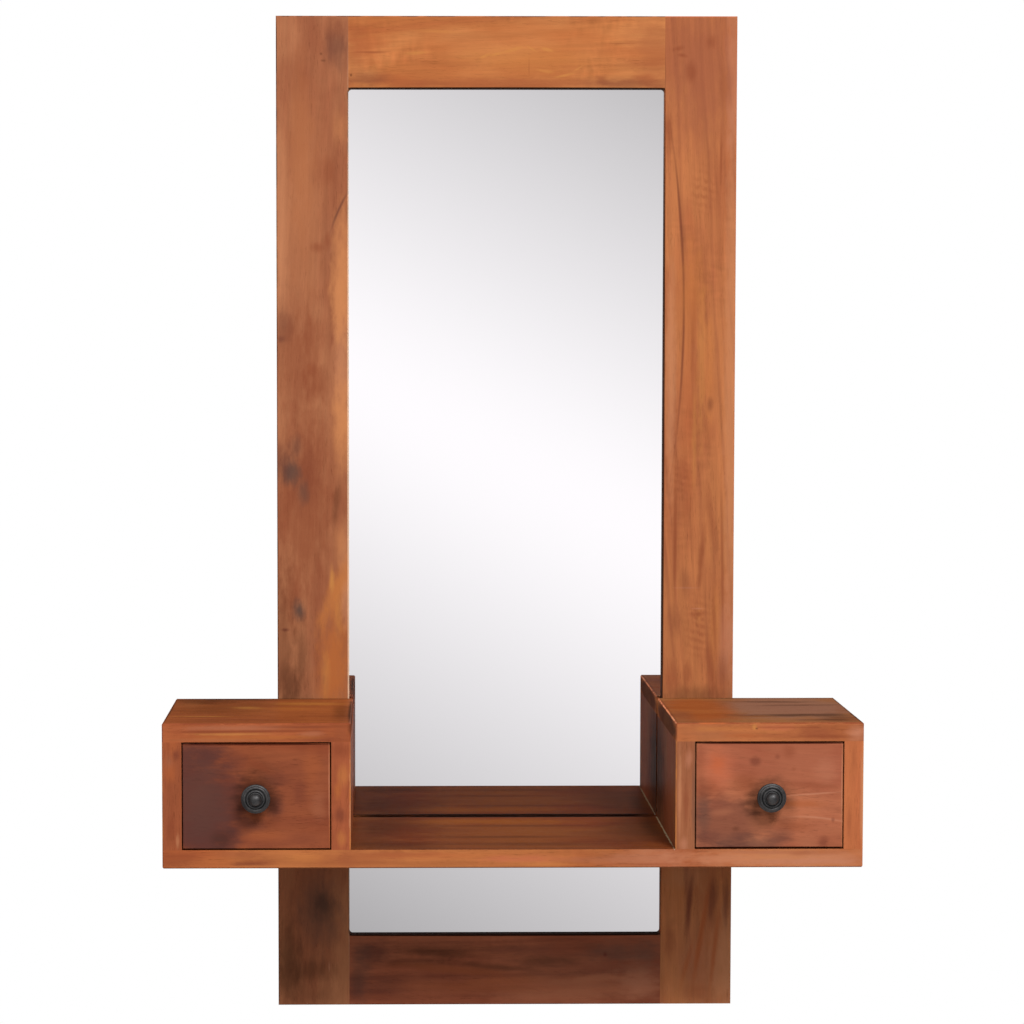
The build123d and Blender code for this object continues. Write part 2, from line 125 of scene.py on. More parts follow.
# ------------------------------------------------------------------ how each board looks
RIGHT_THROUGH = 10000.0  # deeper than any board, in millimetres


@dataclass
class Mark:
    """A stain, knot or vein: its middle and its half sizes, in millimetres along and across the
    board, and through it where it isn't to go right through. A pitch cuts it into ripples that lie
    across the grain."""

    along: float
    across: float
    length: float
    width: float
    tint: tuple
    strength: float = 0.6
    turn: float = 0.0
    bend: float = 0.0
    soft: float = 0.9
    wander: float = 0.35
    through: float = 0.0
    depth: float = RIGHT_THROUGH
    pitch: float = 0.0


@dataclass
class Board:
    """One board: its axes along, across and through, its colours and the run of its grain. Its
    broad-face shade is painted shade that darkens its broad faces, and the edge is the colour of
    its eased corners."""

    axes: str
    pale: tuple
    warm: tuple
    dark: tuple
    seed: float
    pith: tuple = (60.0, 90.0)
    lean: tuple = (0.05, 0.02)
    figure: float = 0.5
    ripple: float = 0.2
    marks: tuple = ()
    broad_face_shade: tuple = CLEAR
    edge: tuple = HONEY


def reveal_light_and_shade(along, across, length, tint=BARK, strength=0.95):
    """The edge of the opening where it meets the glass, with painted shade in the default dark tint
    and a painted highlight in a pale tint.
    """
    return Mark(along, across, length, 1.5, tint, strength, soft=0.35, wander=0.0)


def back_edge_shade(along, length, through=0.0, depth=RIGHT_THROUGH):
    """The rear edge of a board of the unit, darkened with painted shade where it meets the frame
    and the glass shows it.
    """
    return Mark(along, UNIT_BACK, length, 2.5, BARK, 1.0, soft=0.2, wander=0.0, through=through,
                depth=depth)


def on_face(top, along, across, length, width, tint, strength, **more):
    """A mark that stays on the upper face of the shelf or of a box top."""
    return Mark(along, across, length, width, tint, strength, through=top, depth=4, **more)


def on_lip(top, along, length, tint, strength, below, depth):
    """A mark on the front edge of the shelf or of a box top, this far below its upper face."""
    return Mark(along, UNIT_FRONT, length, 6, tint, strength, through=top - below, depth=depth)


def side_lip(along, length, tint, strength, through, depth):
    """A mark on the front edge of a box side."""
    return Mark(along, UNIT_FRONT, length, 8, tint, strength, through=through, depth=depth)


on_shelf, on_top = partial(on_face, SHELF_TOP), partial(on_face, BOX_TOP)
shelf_lip, top_lip = partial(on_lip, SHELF_TOP), partial(on_lip, BOX_TOP)


def shaded_gap_rim(along, across, length, width):
    """A rim of a drawer front, with painted shade where it meets the gap."""
    return Mark(along, across, length, width, SHADE, 0.85, soft=0.3, wander=0.1)


def gap_rim_shade_and_highlight(along):
    """The right end of a drawer front: a line of painted shade at the gap, and beside it a painted
    highlight on the eased edge.
    """
    return (
        shaded_gap_rim(along, -590.5, 0.9, 60),
        Mark(along - 2.1, -580, 0.5, 42, BLUSH, 0.7, soft=0.6, wander=0.3),
    )


LEFT_STILE_MARKS = (
    Mark(-20, -185, 90, 12, TAN, 0.5),
    Mark(-10, -150, 18, 10, WHEAT, 0.35),
    Mark(-460, -175, 400, 60, RUSSET, 0.1),
    Mark(64, -153, 26, 14, PLUM, 0.55),
    Mark(80, -152, 14, 14, RUSSET, 0.35),
    Mark(-105, -203, 110, 8, FAWN, 0.5),
    Mark(-70, -184, 120, 24, TAN, 0.35),
    Mark(-220, -148, 84, 10, FAWN, 0.6),
    Mark(-400, -146, 40, 7, FAWN, 0.4),
    Mark(56, -167, 1.7, 1.8, UMBER, 0.5, soft=1.0),
    Mark(50, -165, 1.4, 3.2, UMBER, 0.45, soft=1.0),
    Mark(38, -185, 24, 14, RUSSET, 0.25),
    Mark(-48, -160, 18, 9, RUSSET, 0.4),
    Mark(-142, -148, 70, 12, WHEAT, 0.85),
    Mark(-170, -151, 38, 9, WHEAT, 0.7),
    Mark(-276, -148, 52, 12, WHEAT, 0.9, turn=-1),
    Mark(-240, -171, 18, 15, RUSSET, 0.45),
    Mark(-196, -178, 18, 11, RUSSET, 0.3),
    Mark(-84, -151.5, 22, 1.7, PLUM, 0.65, turn=24, bend=4.0, soft=1.0, wander=0.2),
    Mark(-112, -161, 10, 4, RUSSET, 0.45),
    Mark(-117, -171, 6, 7, RUSSET, 0.5),
    Mark(-200, -203, 4, 5, PLUM, 0.5),
    Mark(-188, -200, 20, 10, PLUM, 0.4),
    Mark(-228, -178, 8, 7, RUSSET, 0.4),
    Mark(-226, -178, 3.5, 3, TAN, 0.4),
    Mark(-215, -192, 62, 22, RUSSET, 0.45),
    Mark(-226, -175, 62, 13, RUSSET, 0.35),
    Mark(-360, -182, 105, 30, RUSSET, 0.6),
    Mark(-322, -182, 40, 18, CLARET, 0.25),
    Mark(-320, -195, 15, 11, SMOKE, 0.85),
    Mark(-338, -184, 15, 7, SMOKE, 0.5),
    Mark(-298, -190, 14, 7, SMOKE, 0.35),
    Mark(-350, -154, 24, 4, UMBER, 0.4, turn=6),
    Mark(-436, -194, 36, 13, RUSSET, 0.5),
    Mark(-313, -203, 22, 9, PLUM, 0.5),
    Mark(-428, -153, 46, 11, HONEY, 0.8, turn=23),
    Mark(-386, -150, 24, 7, WHEAT, 0.5),
    Mark(-500, -156, 68, 18, AMBER, 0.85, turn=4),
    Mark(-418, -158, 15, 2.8, STRAW, 0.8),
    Mark(-452, -152, 24, 5, STRAW, 0.4),
    Mark(-505, -164, 26, 5, STRAW, 0.4),
    Mark(-446, -188, 12, 7.5, SMOKE, 0.95),
    Mark(-490, -186, 44, 8, UMBER, 0.45),
    Mark(-464, -200, 2.4, 5, CLARET, 0.8),
    Mark(-512, -197, 24, 14, UMBER, 0.5),
    Mark(-488, -203, 104, 14, UMBER, 0.4),
    # painted shade just above the box top, where the stile meets it
    Mark(-535, -192, 26, 20, UMBER, 0.4),
    Mark(-440, -145, 26, 6, FAWN, 0.55),
    Mark(-640, -186, 60, 30, SIENNA, 0.5),
    Mark(-778, -180, 13, 28, UMBER, 0.5),
    Mark(-719, -167, 18, 14, UMBER, 0.5),
    Mark(-716, -167, 10, 8, BARK, 0.5),
    Mark(-722, -170, 44, 26, SMOKE, 0.55),
    Mark(-775, -161, 6, 1.2, BLUSH, 0.5),
    Mark(-772, -198, 52, 15, UMBER, 0.6),
    Mark(-802, -172, 12, 30, UMBER, 0.3),
    # painted highlight along the left edge of the opening
    reveal_light_and_shade(-360, -142.4, 400, PAINTED_HIGHLIGHT, 0.6),
)
TOP_RAIL_MARKS = (
    Mark(-127, 65, 24, 22, COPPER, 0.6),
    Mark(-122, 57.5, 18, 1.3, RUSSET, 0.5, wander=0.2),
    Mark(-140, 37, 1.4, 1.6, UMBER, 0.7, soft=0.6),
    Mark(-100, 32, 34, 8, COPPER, 0.5),
    Mark(-80, 57, 14, 2.2, STRAW, 0.6, turn=4),
    Mark(-60, 76, 30, 2, STRAW, 0.35, turn=-3),
    Mark(-20, 54, 6, 2, STRAW, 0.8, turn=24),
    Mark(-9, 56, 7, 1.7, STRAW, 0.8, turn=14),
    Mark(6, 60, 9, 2, STRAW, 0.7, turn=16),
    Mark(22, 61, 6, 1.5, STRAW, 0.8, turn=-30),
    Mark(36, 60, 7, 2.2, STRAW, 0.9, turn=-14),
    Mark(34, 41, 10, 1.8, STRAW, 0.6, turn=-10),
    Mark(52, 37, 11, 1.6, STRAW, 0.7, turn=12),
    Mark(64, 43, 5, 1.4, STRAW, 0.6, turn=30),
    Mark(20, 46, 0.9, 10, RUSSET, 0.4),
    Mark(85, 33, 7, 5.5, RUSSET, 0.5),
    Mark(101, 65.5, 14, 0.9, RUSSET, 0.45),
    Mark(125, 32, 14, 7, COPPER, 0.5),
    Mark(96, 58, 32, 9, COPPER, 0.3),
    Mark(0, 30, 150, 5, SIENNA, 0.5, soft=0.7),
    Mark(-126, 34, 26, 9, PLUM, 0.35),
    Mark(112, 30, 52, 6, PLUM, 0.35),
    Mark(16, 52, 80, 14, STRAW, 0.38),
    Mark(-138, 55, 16, 45, SIENNA, 0.3),
    Mark(136, 60, 32, 45, SIENNA, 0.5),
    Mark(0, 60, 160, 60, COPPER, 0.12),
    reveal_light_and_shade(0, 25.0, 200),
)
RIGHT_STILE_MARKS = (
    # darker top of the stile: partly the board's own colour, partly painted shade
    Mark(40, 176, 90, 44, CHESTNUT, 0.6),
    Mark(-240, 204, 330, 7.5, FAWN, 0.4, soft=0.7),
    Mark(40, 204, 80, 8, BLUSH, 0.35, soft=0.7),
    Mark(-474, 202, 46, 12, BLUSH, 0.5, soft=0.9),
    Mark(-225, 177, 96, 5, STRAW, 0.4),
    Mark(-240, 166, 150, 9, RUST, 0.12),
    Mark(-760, 204, 62, 7.5, FAWN, 0.6, soft=0.7),
    Mark(-235, 149, 130, 6, FAWN, 0.5, soft=0.8),
    # painted shade just above the box top, where the stile meets it
    Mark(-525, 172, 12, 40, UMBER, 0.45),
    Mark(61, 154, 3.5, 6, RUSSET, 0.55, turn=30),
    Mark(55, 158, 2.6, 5, RUSSET, 0.55, turn=-35),
    Mark(40, 166, 12, 6, RUSSET, 0.5),
    Mark(67, 184, 8, 6, RUSSET, 0.4),
    Mark(30, 198, 24, 8, RUSSET, 0.35),
    Mark(-12, 146, 26, 4, RUSSET, 0.5),
    Mark(-158, 160.6, 165, 1.5, CLARET, 0.8, turn=-0.9, bend=-0.48, wander=0.06),
    Mark(-96, 156.8, 60, 1.1, CLARET, 0.4, turn=-4, wander=0.08),
    Mark(-36, 193.5, 34, 1.6, RUSSET, 0.6, wander=0.1),
    Mark(-66, 178, 26, 14, RUSSET, 0.4, pitch=7.5),
    Mark(-156, 168, 56, 16, HONEY, 0.45),
    Mark(-230, 184, 70, 6, HONEY, 0.45),
    Mark(-200, 170, 60, 3, RUSSET, 0.3),
    Mark(-259, 185, 9, 3.6, CLARET, 0.5),
    Mark(-290, 171, 60, 3, STRAW, 0.35),
    Mark(-326, 160, 22, 12, RUSSET, 0.42, pitch=6.5),
    Mark(-318, 160, 14, 9, SIENNA, 0.5),
    Mark(-386, 154, 66, 2.2, RUSSET, 0.65, wander=0.15),
    Mark(-398, 178, 36, 3.4, RUSSET, 0.6, turn=5),
    Mark(-360, 186, 36, 5, RUSSET, 0.35, turn=-8),
    Mark(-405, 197, 84, 1.8, RUSSET, 0.5, turn=-1, wander=0.15),
    Mark(-426, 163, 1.2, 13, BLUSH, 0.45),
    Mark(-462, 176, 36, 16, RUSSET, 0.42, pitch=7.0),
    Mark(-450, 176, 12, 3, STRAW, 0.2),
    Mark(-450, 175, 3, 8, RUSSET, 0.6),
    Mark(-445, 175, 1.2, 8, BLUSH, 0.6),
    Mark(-422, 164, 16, 7, CLARET, 0.3),
    Mark(-456, 153, 18, 8, CLARET, 0.35),
    Mark(-504, 198, 22, 6, CLARET, 0.35),
    Mark(-462, 191, 48, 6, HONEY, 0.45),
    Mark(-456, 190, 36, 2, RUSSET, 0.45, turn=-3),
    Mark(-500, 187, 32, 4.5, RUSSET, 0.5, turn=-5),
    Mark(-506, 166, 18, 6, RUSSET, 0.5),
    Mark(-470, 178, 50, 16, SIENNA, 0.12),
    Mark(-508, 152, 18, 9, SIENNA, 0.6),
    Mark(-765, 175, 74, 56, FAWN, 0.25),
    Mark(-778, 197, 42, 15, FAWN, 0.6),
    # painted light just below the shelf, lifting its shadow there
    Mark(-690, 166, 18, 26, FAWN, 0.3),
    Mark(-712, 190, 28, 6, CLARET, 0.6, turn=3),
    Mark(-774, 178, 30, 20, CLAY, 0.45),
    Mark(-752, 151, 22, 7, RUSSET, 0.4),
    Mark(-718, 169, 38, 3.4, CLARET, 0.65, turn=5),
    Mark(-745, 180, 60, 3.4, COPPER, 0.8, turn=9),
    Mark(-762, 192, 44, 3, COPPER, 0.7, turn=6),
    Mark(-776, 166, 26, 3, COPPER, 0.5, turn=14),
    Mark(-714, 203, 30, 4, CLARET, 0.6),
    Mark(-798, 176, 9, 16, SIENNA, 0.4),
    reveal_light_and_shade(-360, 142.4, 400),
)
BOTTOM_RAIL_MARKS = (
    Mark(-122, -762, 26, 15, PLUM, 0.6),
    Mark(-136, -792, 10, 20, PLUM, 0.5),
    Mark(-60, -762, 42, 5.5, BARK, 0.45, turn=-3),
    Mark(-10, -775, 60, 4, BARK, 0.4, turn=-5),
    Mark(40, -770, 40, 6, UMBER, 0.5),
    Mark(112, -760, 34, 15, SMOKE, 0.3),
    Mark(-70, -758, 90, 12, BARK, 0.25),
    Mark(80, -794, 90, 15, CLAY, 0.6),
    Mark(124, -788, 26, 22, BLUSH, 0.5),
    Mark(-132, -778, 12, 40, SMOKE, 0.35),
    Mark(70, -774, 90, 24, SMOKE, 0.2),
    Mark(74, -757, 20, 6, BARK, 0.12),
    Mark(92, -762, 28, 9, SMOKE, 0.35),
    Mark(130, -763, 16, 14, SMOKE, 0.4),
    Mark(18, -758, 40, 6, PLUM, 0.3),
    Mark(-84, -771, 54, 6, BARK, 0.3),
    Mark(-108, -792, 24, 14, PLUM, 0.35),
    Mark(0, -788, 44, 5, COPPER, 0.3),
    Mark(92, -764, 2.5, 3, CLARET, 0.8),
    Mark(-40, -778, 64, 5, SIENNA, 0.7, turn=-5),
    Mark(-30, -794, 90, 7, SIENNA, 0.5, turn=-1),
    Mark(84, -786, 50, 5, CLAY, 0.6, turn=4),
    Mark(46, -802, 74, 7, CLAY, 0.55),
    reveal_light_and_shade(0, -745.0, 200),
)
LEFT_FRONT_MARKS = (
    Mark(-280, -590, 44, 60, PLUM, 0.9, turn=-24, soft=0.5, wander=0.2),
    Mark(-262, -620, 22, 30, PLUM, 0.85, soft=0.6, wander=0.2),
    Mark(-258, -553, 17, 13, PLUM, 0.75, soft=0.8),
    Mark(-246, -567, 14, 12, PLUM, 0.5),
    Mark(-238, -614, 18, 15, PLUM, 0.5),
    Mark(-206, -576, 15, 12, PLUM, 0.4),
    # painted shadow of the knob, to its right
    Mark(-203, -597, 10, 14, PLUM, 0.6),
    Mark(-214, -631, 24, 8, CLARET, 0.4),
    Mark(-166, -598, 9, 18, CLAY, 0.3),
    Mark(-243, -590, 22, 27, PLUM, 0.75, soft=0.7, wander=0.3),
    Mark(-243, -628, 12, 14, PLUM, 0.7, soft=0.7, wander=0.3),
    Mark(-262, -556, 18, 11, PLUM, 0.6, turn=-14),
    Mark(-250, -626, 13, 10, BARK, 0.35),
    Mark(-216, -574, 22, 26, UMBER, 0.3),
    Mark(-216, -564, 20, 5, RUSSET, 0.5, turn=-28),
    # painted shadow round the knob
    Mark(-222, -590, 20, 19, BARK, 0.7, soft=0.7),
    Mark(-205, -592, 10, 13, BARK, 0.5),
    Mark(-182, -588, 8, 13, CLARET, 0.4),
    Mark(-190, -582, 20, 24, CLARET, 0.3),
    Mark(-172, -564, 10, 20, COPPER, 0.35),
    Mark(-212, -624, 22, 6, COPPER, 0.3),
    Mark(-178, -628, 18, 8, CLARET, 0.3),
    Mark(-266, -596, 26, 46, SMOKE, 0.3),
    Mark(-238, -560, 13, 12, PLUM, 0.4),
    Mark(-224, -614, 16, 8, PLUM, 0.45),
    # painted shade at the top gap, a painted highlight on the left edge, and the painted shade and
    # highlight of the right end
    shaded_gap_rim(-220, -545.0, 80, 0.7),
    Mark(-283.8, -590, 0.5, 40, DUSK, 0.6, soft=0.6, wander=0.3),
    *gap_rim_shade_and_highlight(-155.4),
)
RIGHT_FRONT_MARKS = (
    Mark(245, -560, 44, 32, CLAY, 0.35),
    Mark(160, -566, 6, 30, RUSSET, 0.3),
    Mark(176, -568, 16, 22, SALMON, 0.8),
    Mark(175, -562, 8, 12, RUST, 0.25),
    Mark(200, -580, 18, 12, RUSSET, 0.6),
    Mark(180, -614, 34, 28, PLUM, 0.55, soft=0.5),
    Mark(163, -600, 8, 28, SMOKE, 0.5),
    Mark(166, -628, 18, 13, PLUM, 0.5),
    Mark(204, -633, 38, 12, SMOKE, 0.55),
    Mark(194, -630, 14, 12, PLUM, 0.45),
    Mark(234, -620, 10, 16, PLUM, 0.3),
    Mark(254, -632, 14, 10, CLAY, 0.5),
    Mark(178, -604, 12, 5, CLAY, 0.5, turn=8),
    Mark(212, -614, 14, 8, CLAY, 0.5),
    Mark(191, -618, 4, 3, UMBER, 0.35),
    Mark(207, -560, 6, 5, CLARET, 0.55),
    Mark(226, -556, 3, 3, CLARET, 0.35),
    Mark(236, -552, 7, 8, RUSSET, 0.4),
    Mark(240, -567, 3, 2.2, RUSSET, 0.35),
    # painted shadow round the knob
    Mark(219, -590, 20, 18, BARK, 0.6, soft=0.7),
    Mark(205, -597, 12, 12, BARK, 0.4),
    Mark(237, -595, 8, 10, BARK, 0.3),
    Mark(258, -581, 30, 4, RUSSET, 0.4, turn=-3),
    Mark(256, -588.5, 30, 1.1, BLUSH, 0.8, turn=4, wander=0.15),
    Mark(250, -597, 24, 4, COPPER, 0.5),
    Mark(262, -609, 30, 1.3, BLUSH, 0.75, turn=-6, bend=-3.0, wander=0.15),
    Mark(240, -616, 22, 7, SIENNA, 0.5),
    Mark(266, -630, 6, 7, CLARET, 0.5),
    Mark(274, -611, 2, 3, CLARET, 0.5),
    Mark(165, -584, 18, 12, RUSSET, 0.5),
    Mark(226, -626, 14, 11, PLUM, 0.45),
    Mark(268, -567, 15, 15, BLUSH, 0.3),
    # painted shade at the left, top and bottom gaps, and the painted shade and highlight of the
    # right end
    shaded_gap_rim(155.8, -590.5, 0.9, 60),
    shaded_gap_rim(220, -544.8, 80, 0.6),
    shaded_gap_rim(220, -634.4, 80, 0.6),
    *gap_rim_shade_and_highlight(283.4),
)
SHELF_MARKS = (
    back_edge_shade(0, 142),
    on_shelf(8, -90, 62, 60, HONEY, 0.7, soft=0.7),
    on_shelf(-62, -74, 44, 11, SIENNA, 0.4),
    on_shelf(-98, -66, 46, 60, COCOA, 0.65),
    on_shelf(-98, -130, 46, 22, COCOA, 0.6),
    on_shelf(-132, -84, 9, 66, CLAY, 0.4),
    on_shelf(104, -88, 34, 70, COCOA, 0.3),
    on_shelf(124, -88, 22, 66, DUSK, 0.35),
    on_shelf(-90, -84, 34, 66, RUST, 0.3),
    on_shelf(128, -60, 10, 60, SMOKE, 0.4),
    on_shelf(-12, -38, 100, 14, GOLD, 0.7),
    on_shelf(16, -56, 100, 5, UMBER, 0.4),
    on_shelf(30, -72, 70, 4, HONEY, 0.35),
    on_shelf(-10, -100, 90, 6, COCOA, 0.4),
    on_shelf(20, -128, 90, 7, UMBER, 0.35),
    Mark(BAY_EDGE - 0.7, -84, 0.9, 62, CHALK, 1.0, soft=0.3, wander=0.8, through=SHELF_TOP,
         depth=3),
    # painted shade along the lower edge of the shelf front
    Mark(0, UNIT_FRONT, 400, 6, UMBER, 0.5, wander=0.1, through=SHELF_FOOT, depth=1.2),
    shelf_lip(-290, 30, RUSSET, 0.5, 8, 12),
    shelf_lip(218, 108, FAWN, 0.6, 7, 12),
    shelf_lip(178, 40, BLUSH, 0.4, 9, 6),
    shelf_lip(275, 42, BLUSH, 0.5, 8, 9),
    shelf_lip(245, 10, SIENNA, 0.3, 4, 3),
    shelf_lip(246, 66, BLUSH, 0.75, 11, 3.4),
    shelf_lip(160, 34, CLAY, 0.2, 5, 4),
    shelf_lip(214, 44, CLAY, 0.6, 3, 1.8),
    shelf_lip(-220, 26, RUSSET, 0.65, 11, 3.4),
    shelf_lip(-228, 18, CLARET, 0.4, 12, 1.8),
    shelf_lip(-178, 24, HONEY, 0.45, 7, 5),
    shelf_lip(-130, 42, SIENNA, 0.5, 7, 10),
    shelf_lip(-232, 36, SIENNA, 0.5, 3, 5),
    shelf_lip(118, 44, BLUSH, 0.55, 8, 12),
    shelf_lip(262, 38, SIENNA, 0.4, 3, 3),
    shelf_lip(-143, 9, SIENNA, 0.5, 8, 9),
    shelf_lip(-90, 40, SIENNA, 0.5, 4, 3),
    shelf_lip(-60, 90, COPPER, 0.4, 5, 4),
    shelf_lip(10, 50, SALMON, 0.6, 8, 4),
    shelf_lip(30, 40, HONEY, 0.4, 13, 1.6),
    shelf_lip(76, 44, CLAY, 0.5, 9, 4),
    shelf_lip(110, 44, SIENNA, 0.5, 13, 1.6),
)
LEFT_TOP_MARKS = (
    back_edge_shade(-225, 90, BOX_TOP, 1.5),
    Mark(-299.2, -84, 1.5, 70, UMBER, 0.8, soft=0.3, wander=0.1, through=BOX_TOP, depth=2.5),
    # painted shade along the rear edge, where the top meets the frame
    Mark(-250, UNIT_BACK, 42, 5.5, BARK, 0.85, soft=0.4, wander=0.1, through=BOX_TOP, depth=1.5),
    top_lip(-240, 58, CLAY, 0.7, 4, 3.0),
    top_lip(-200, 60, RUSSET, 0.7, 6.5, 1.4),
    top_lip(-240, 40, STRAW, 0.6, 9, 1.6),
    top_lip(-180, 44, CLARET, 0.4, 3, 1.4),
    top_lip(-166, 30, CLARET, 0.35, 13, 4),
    top_lip(-256, 46, RUSSET, 0.7, 7, 1.8),
    top_lip(-248, 54, TAN, 0.6, 14, 2.2),
    top_lip(-172, 13, CLAY, 0.6, 9, 3),
    top_lip(-146, 8, SIENNA, 0.5, 9, 9),
    top_lip(-215, 70, AMBER, 0.6, 12, 2.6),
    on_top(-255, -70, 62, 52, OLIVE, 0.45),
    on_top(-276, -36, 36, 20, COCOA, 0.65),
    on_top(-252, -26, 70, 9, BARK, 0.4),
    on_top(-232, -68, 18, 10, STRAW, 0.5, turn=-3),
    on_top(-148, -92, 10, 60, COCOA, 0.5),
    on_top(-285, -50, 16, 24, TAN, 0.25),
    on_top(-268, -112, 34, 2.5, STRAW, 0.7),
    on_top(-180, -46, 40, 12, HONEY, 0.7, turn=-4),
    on_top(-196, -72, 34, 8, AMBER, 0.6, turn=-4),
    on_top(-235, -129, 66, 8, RUSSET, 0.5),
    Mark(-BAY_EDGE, -84, 3.6, 76, BARK, 0.8, soft=0.5, wander=0.2, through=BOX_TOP - 3, depth=12),
)
RIGHT_TOP_MARKS = (
    back_edge_shade(225, 90, BOX_TOP, 1.5),
    Mark(298.9, -84, 1.8, 70, BARK, 0.75, soft=0.3, wander=0.1, through=BOX_TOP, depth=2.5),
    # painted shade along the rear edge, where the top meets the frame
    Mark(262, UNIT_BACK, 46, 4, BARK, 0.7, soft=0.4, wander=0.1, through=BOX_TOP, depth=1.5),
    # painted shade on the end of the top, which faces into the bay
    Mark(BAY_EDGE, -84, 1.2, 70, BARK, 0.75, soft=0.3, wander=0.1, through=BOX_TOP - 9, depth=10),
    Mark(BAY_EDGE + 1.2, -84, 2.4, 70, UMBER, 0.5, soft=0.6, through=BOX_TOP, depth=2.4),
    Mark(BAY_EDGE + 0.4, -96, 0.45, 52, FAWN, 0.7, soft=0.3, wander=1.4, through=BOX_TOP,
         depth=1.6),
    top_lip(166, 32, TAN, 0.75, 8, 12),
    top_lip(176, 36, HONEY, 0.5, 5, 3.5),
    top_lip(228, 26, SALMON, 0.5, 4, 4),
    top_lip(226, 26, SIENNA, 0.55, 11, 3),
    top_lip(196, 20, COPPER, 0.5, 11, 2.4),
    top_lip(294, 11, BLUSH, 0.85, 9, 9),
    top_lip(206, 3, STRAW, 0.8, 4, 3),
    top_lip(208, 1.6, UMBER, 0.7, 5, 1),
    top_lip(259, 26, SIENNA, 0.9, 9, 9),
    top_lip(270, 34, RUSSET, 0.5, 12, 2),
    top_lip(240, 44, RUSSET, 0.45, 4, 1.2),
    on_top(248, -70, 62, 60, DUSK, 0.8, soft=0.4),
    on_top(282, -122, 20, 26, UMBER, 0.4),
    on_top(240, -40, 50, 5, UMBER, 0.6, turn=-2),
    on_top(260, -58, 50, 5, UMBER, 0.45, turn=2),
    on_top(250, -110, 60, 9, UMBER, 0.75, turn=3),
    on_top(238, -124, 56, 2.4, BLUSH, 0.6),
    on_top(272, -134, 34, 6, UMBER, 0.5),
    # painted reflection of the stile in the top, warmer where the stile stands behind it
    on_top(168, -80, 34, 76, RUST, 0.6, soft=0.5),
    on_top(150, -108, 12, 30, SIENNA, 0.6),
)
LEFT_OUTER_SIDE_MARKS = (
    side_lip(-554, 6, CLARET, 0.6, -288, 4),
    side_lip(-560, 9, CLAY, 0.4, -294, 4),
    side_lip(-618, 14, RUSSET, 0.6, -293, 5),
    side_lip(-628, 8, FAWN, 0.4, -287, 2),
    side_lip(-570, 10, COPPER, 0.6, -293, 6),
)
LEFT_INNER_SIDE_MARKS = (
    # painted highlight along the front of the inner face
    Mark(-596, UNIT_FRONT, 40, 1.2, FAWN, 0.6, soft=0.5, wander=1.2, through=-BAY_EDGE, depth=1.0),
    side_lip(-550, 9, RUSSET, 0.6, -147, 12),
    side_lip(-572, 12, HONEY, 0.5, -146, 6),
    side_lip(-584, 9, AMBER, 0.6, -150, 4),
    side_lip(-606, 8, CLARET, 0.6, -148, 7),
    side_lip(-626, 8, HONEY, 0.5, -146, 5),
)
RIGHT_INNER_SIDE_MARKS = (
    # painted shade on the inner face in the bay, darkest towards the rear
    Mark(-590, -30, 90, 66, BARK, 0.85, soft=1.0, through=BAY_EDGE, depth=5),
    Mark(-590, -110, 70, 34, CLAY, 0.3, through=BAY_EDGE, depth=5),
    side_lip(-590, 50, FAWN, 0.5, 142.5, 2),
    side_lip(-590, 50, SMOKE, 0.45, 154.5, 2.4),
    side_lip(-600, 26, RUSSET, 0.45, 148, 3),
    side_lip(-558, 10, BLUSH, 0.5, 150, 4),
    side_lip(-632, 8, BLUSH, 0.5, 146, 4),
)
RIGHT_OUTER_SIDE_MARKS = (
    side_lip(-590, 50, FAWN, 0.6, 299, 2.4),
    side_lip(-612, 22, SIENNA, 0.5, 288, 3),
    side_lip(-560, 14, SIENNA, 0.4, 292, 3),
)

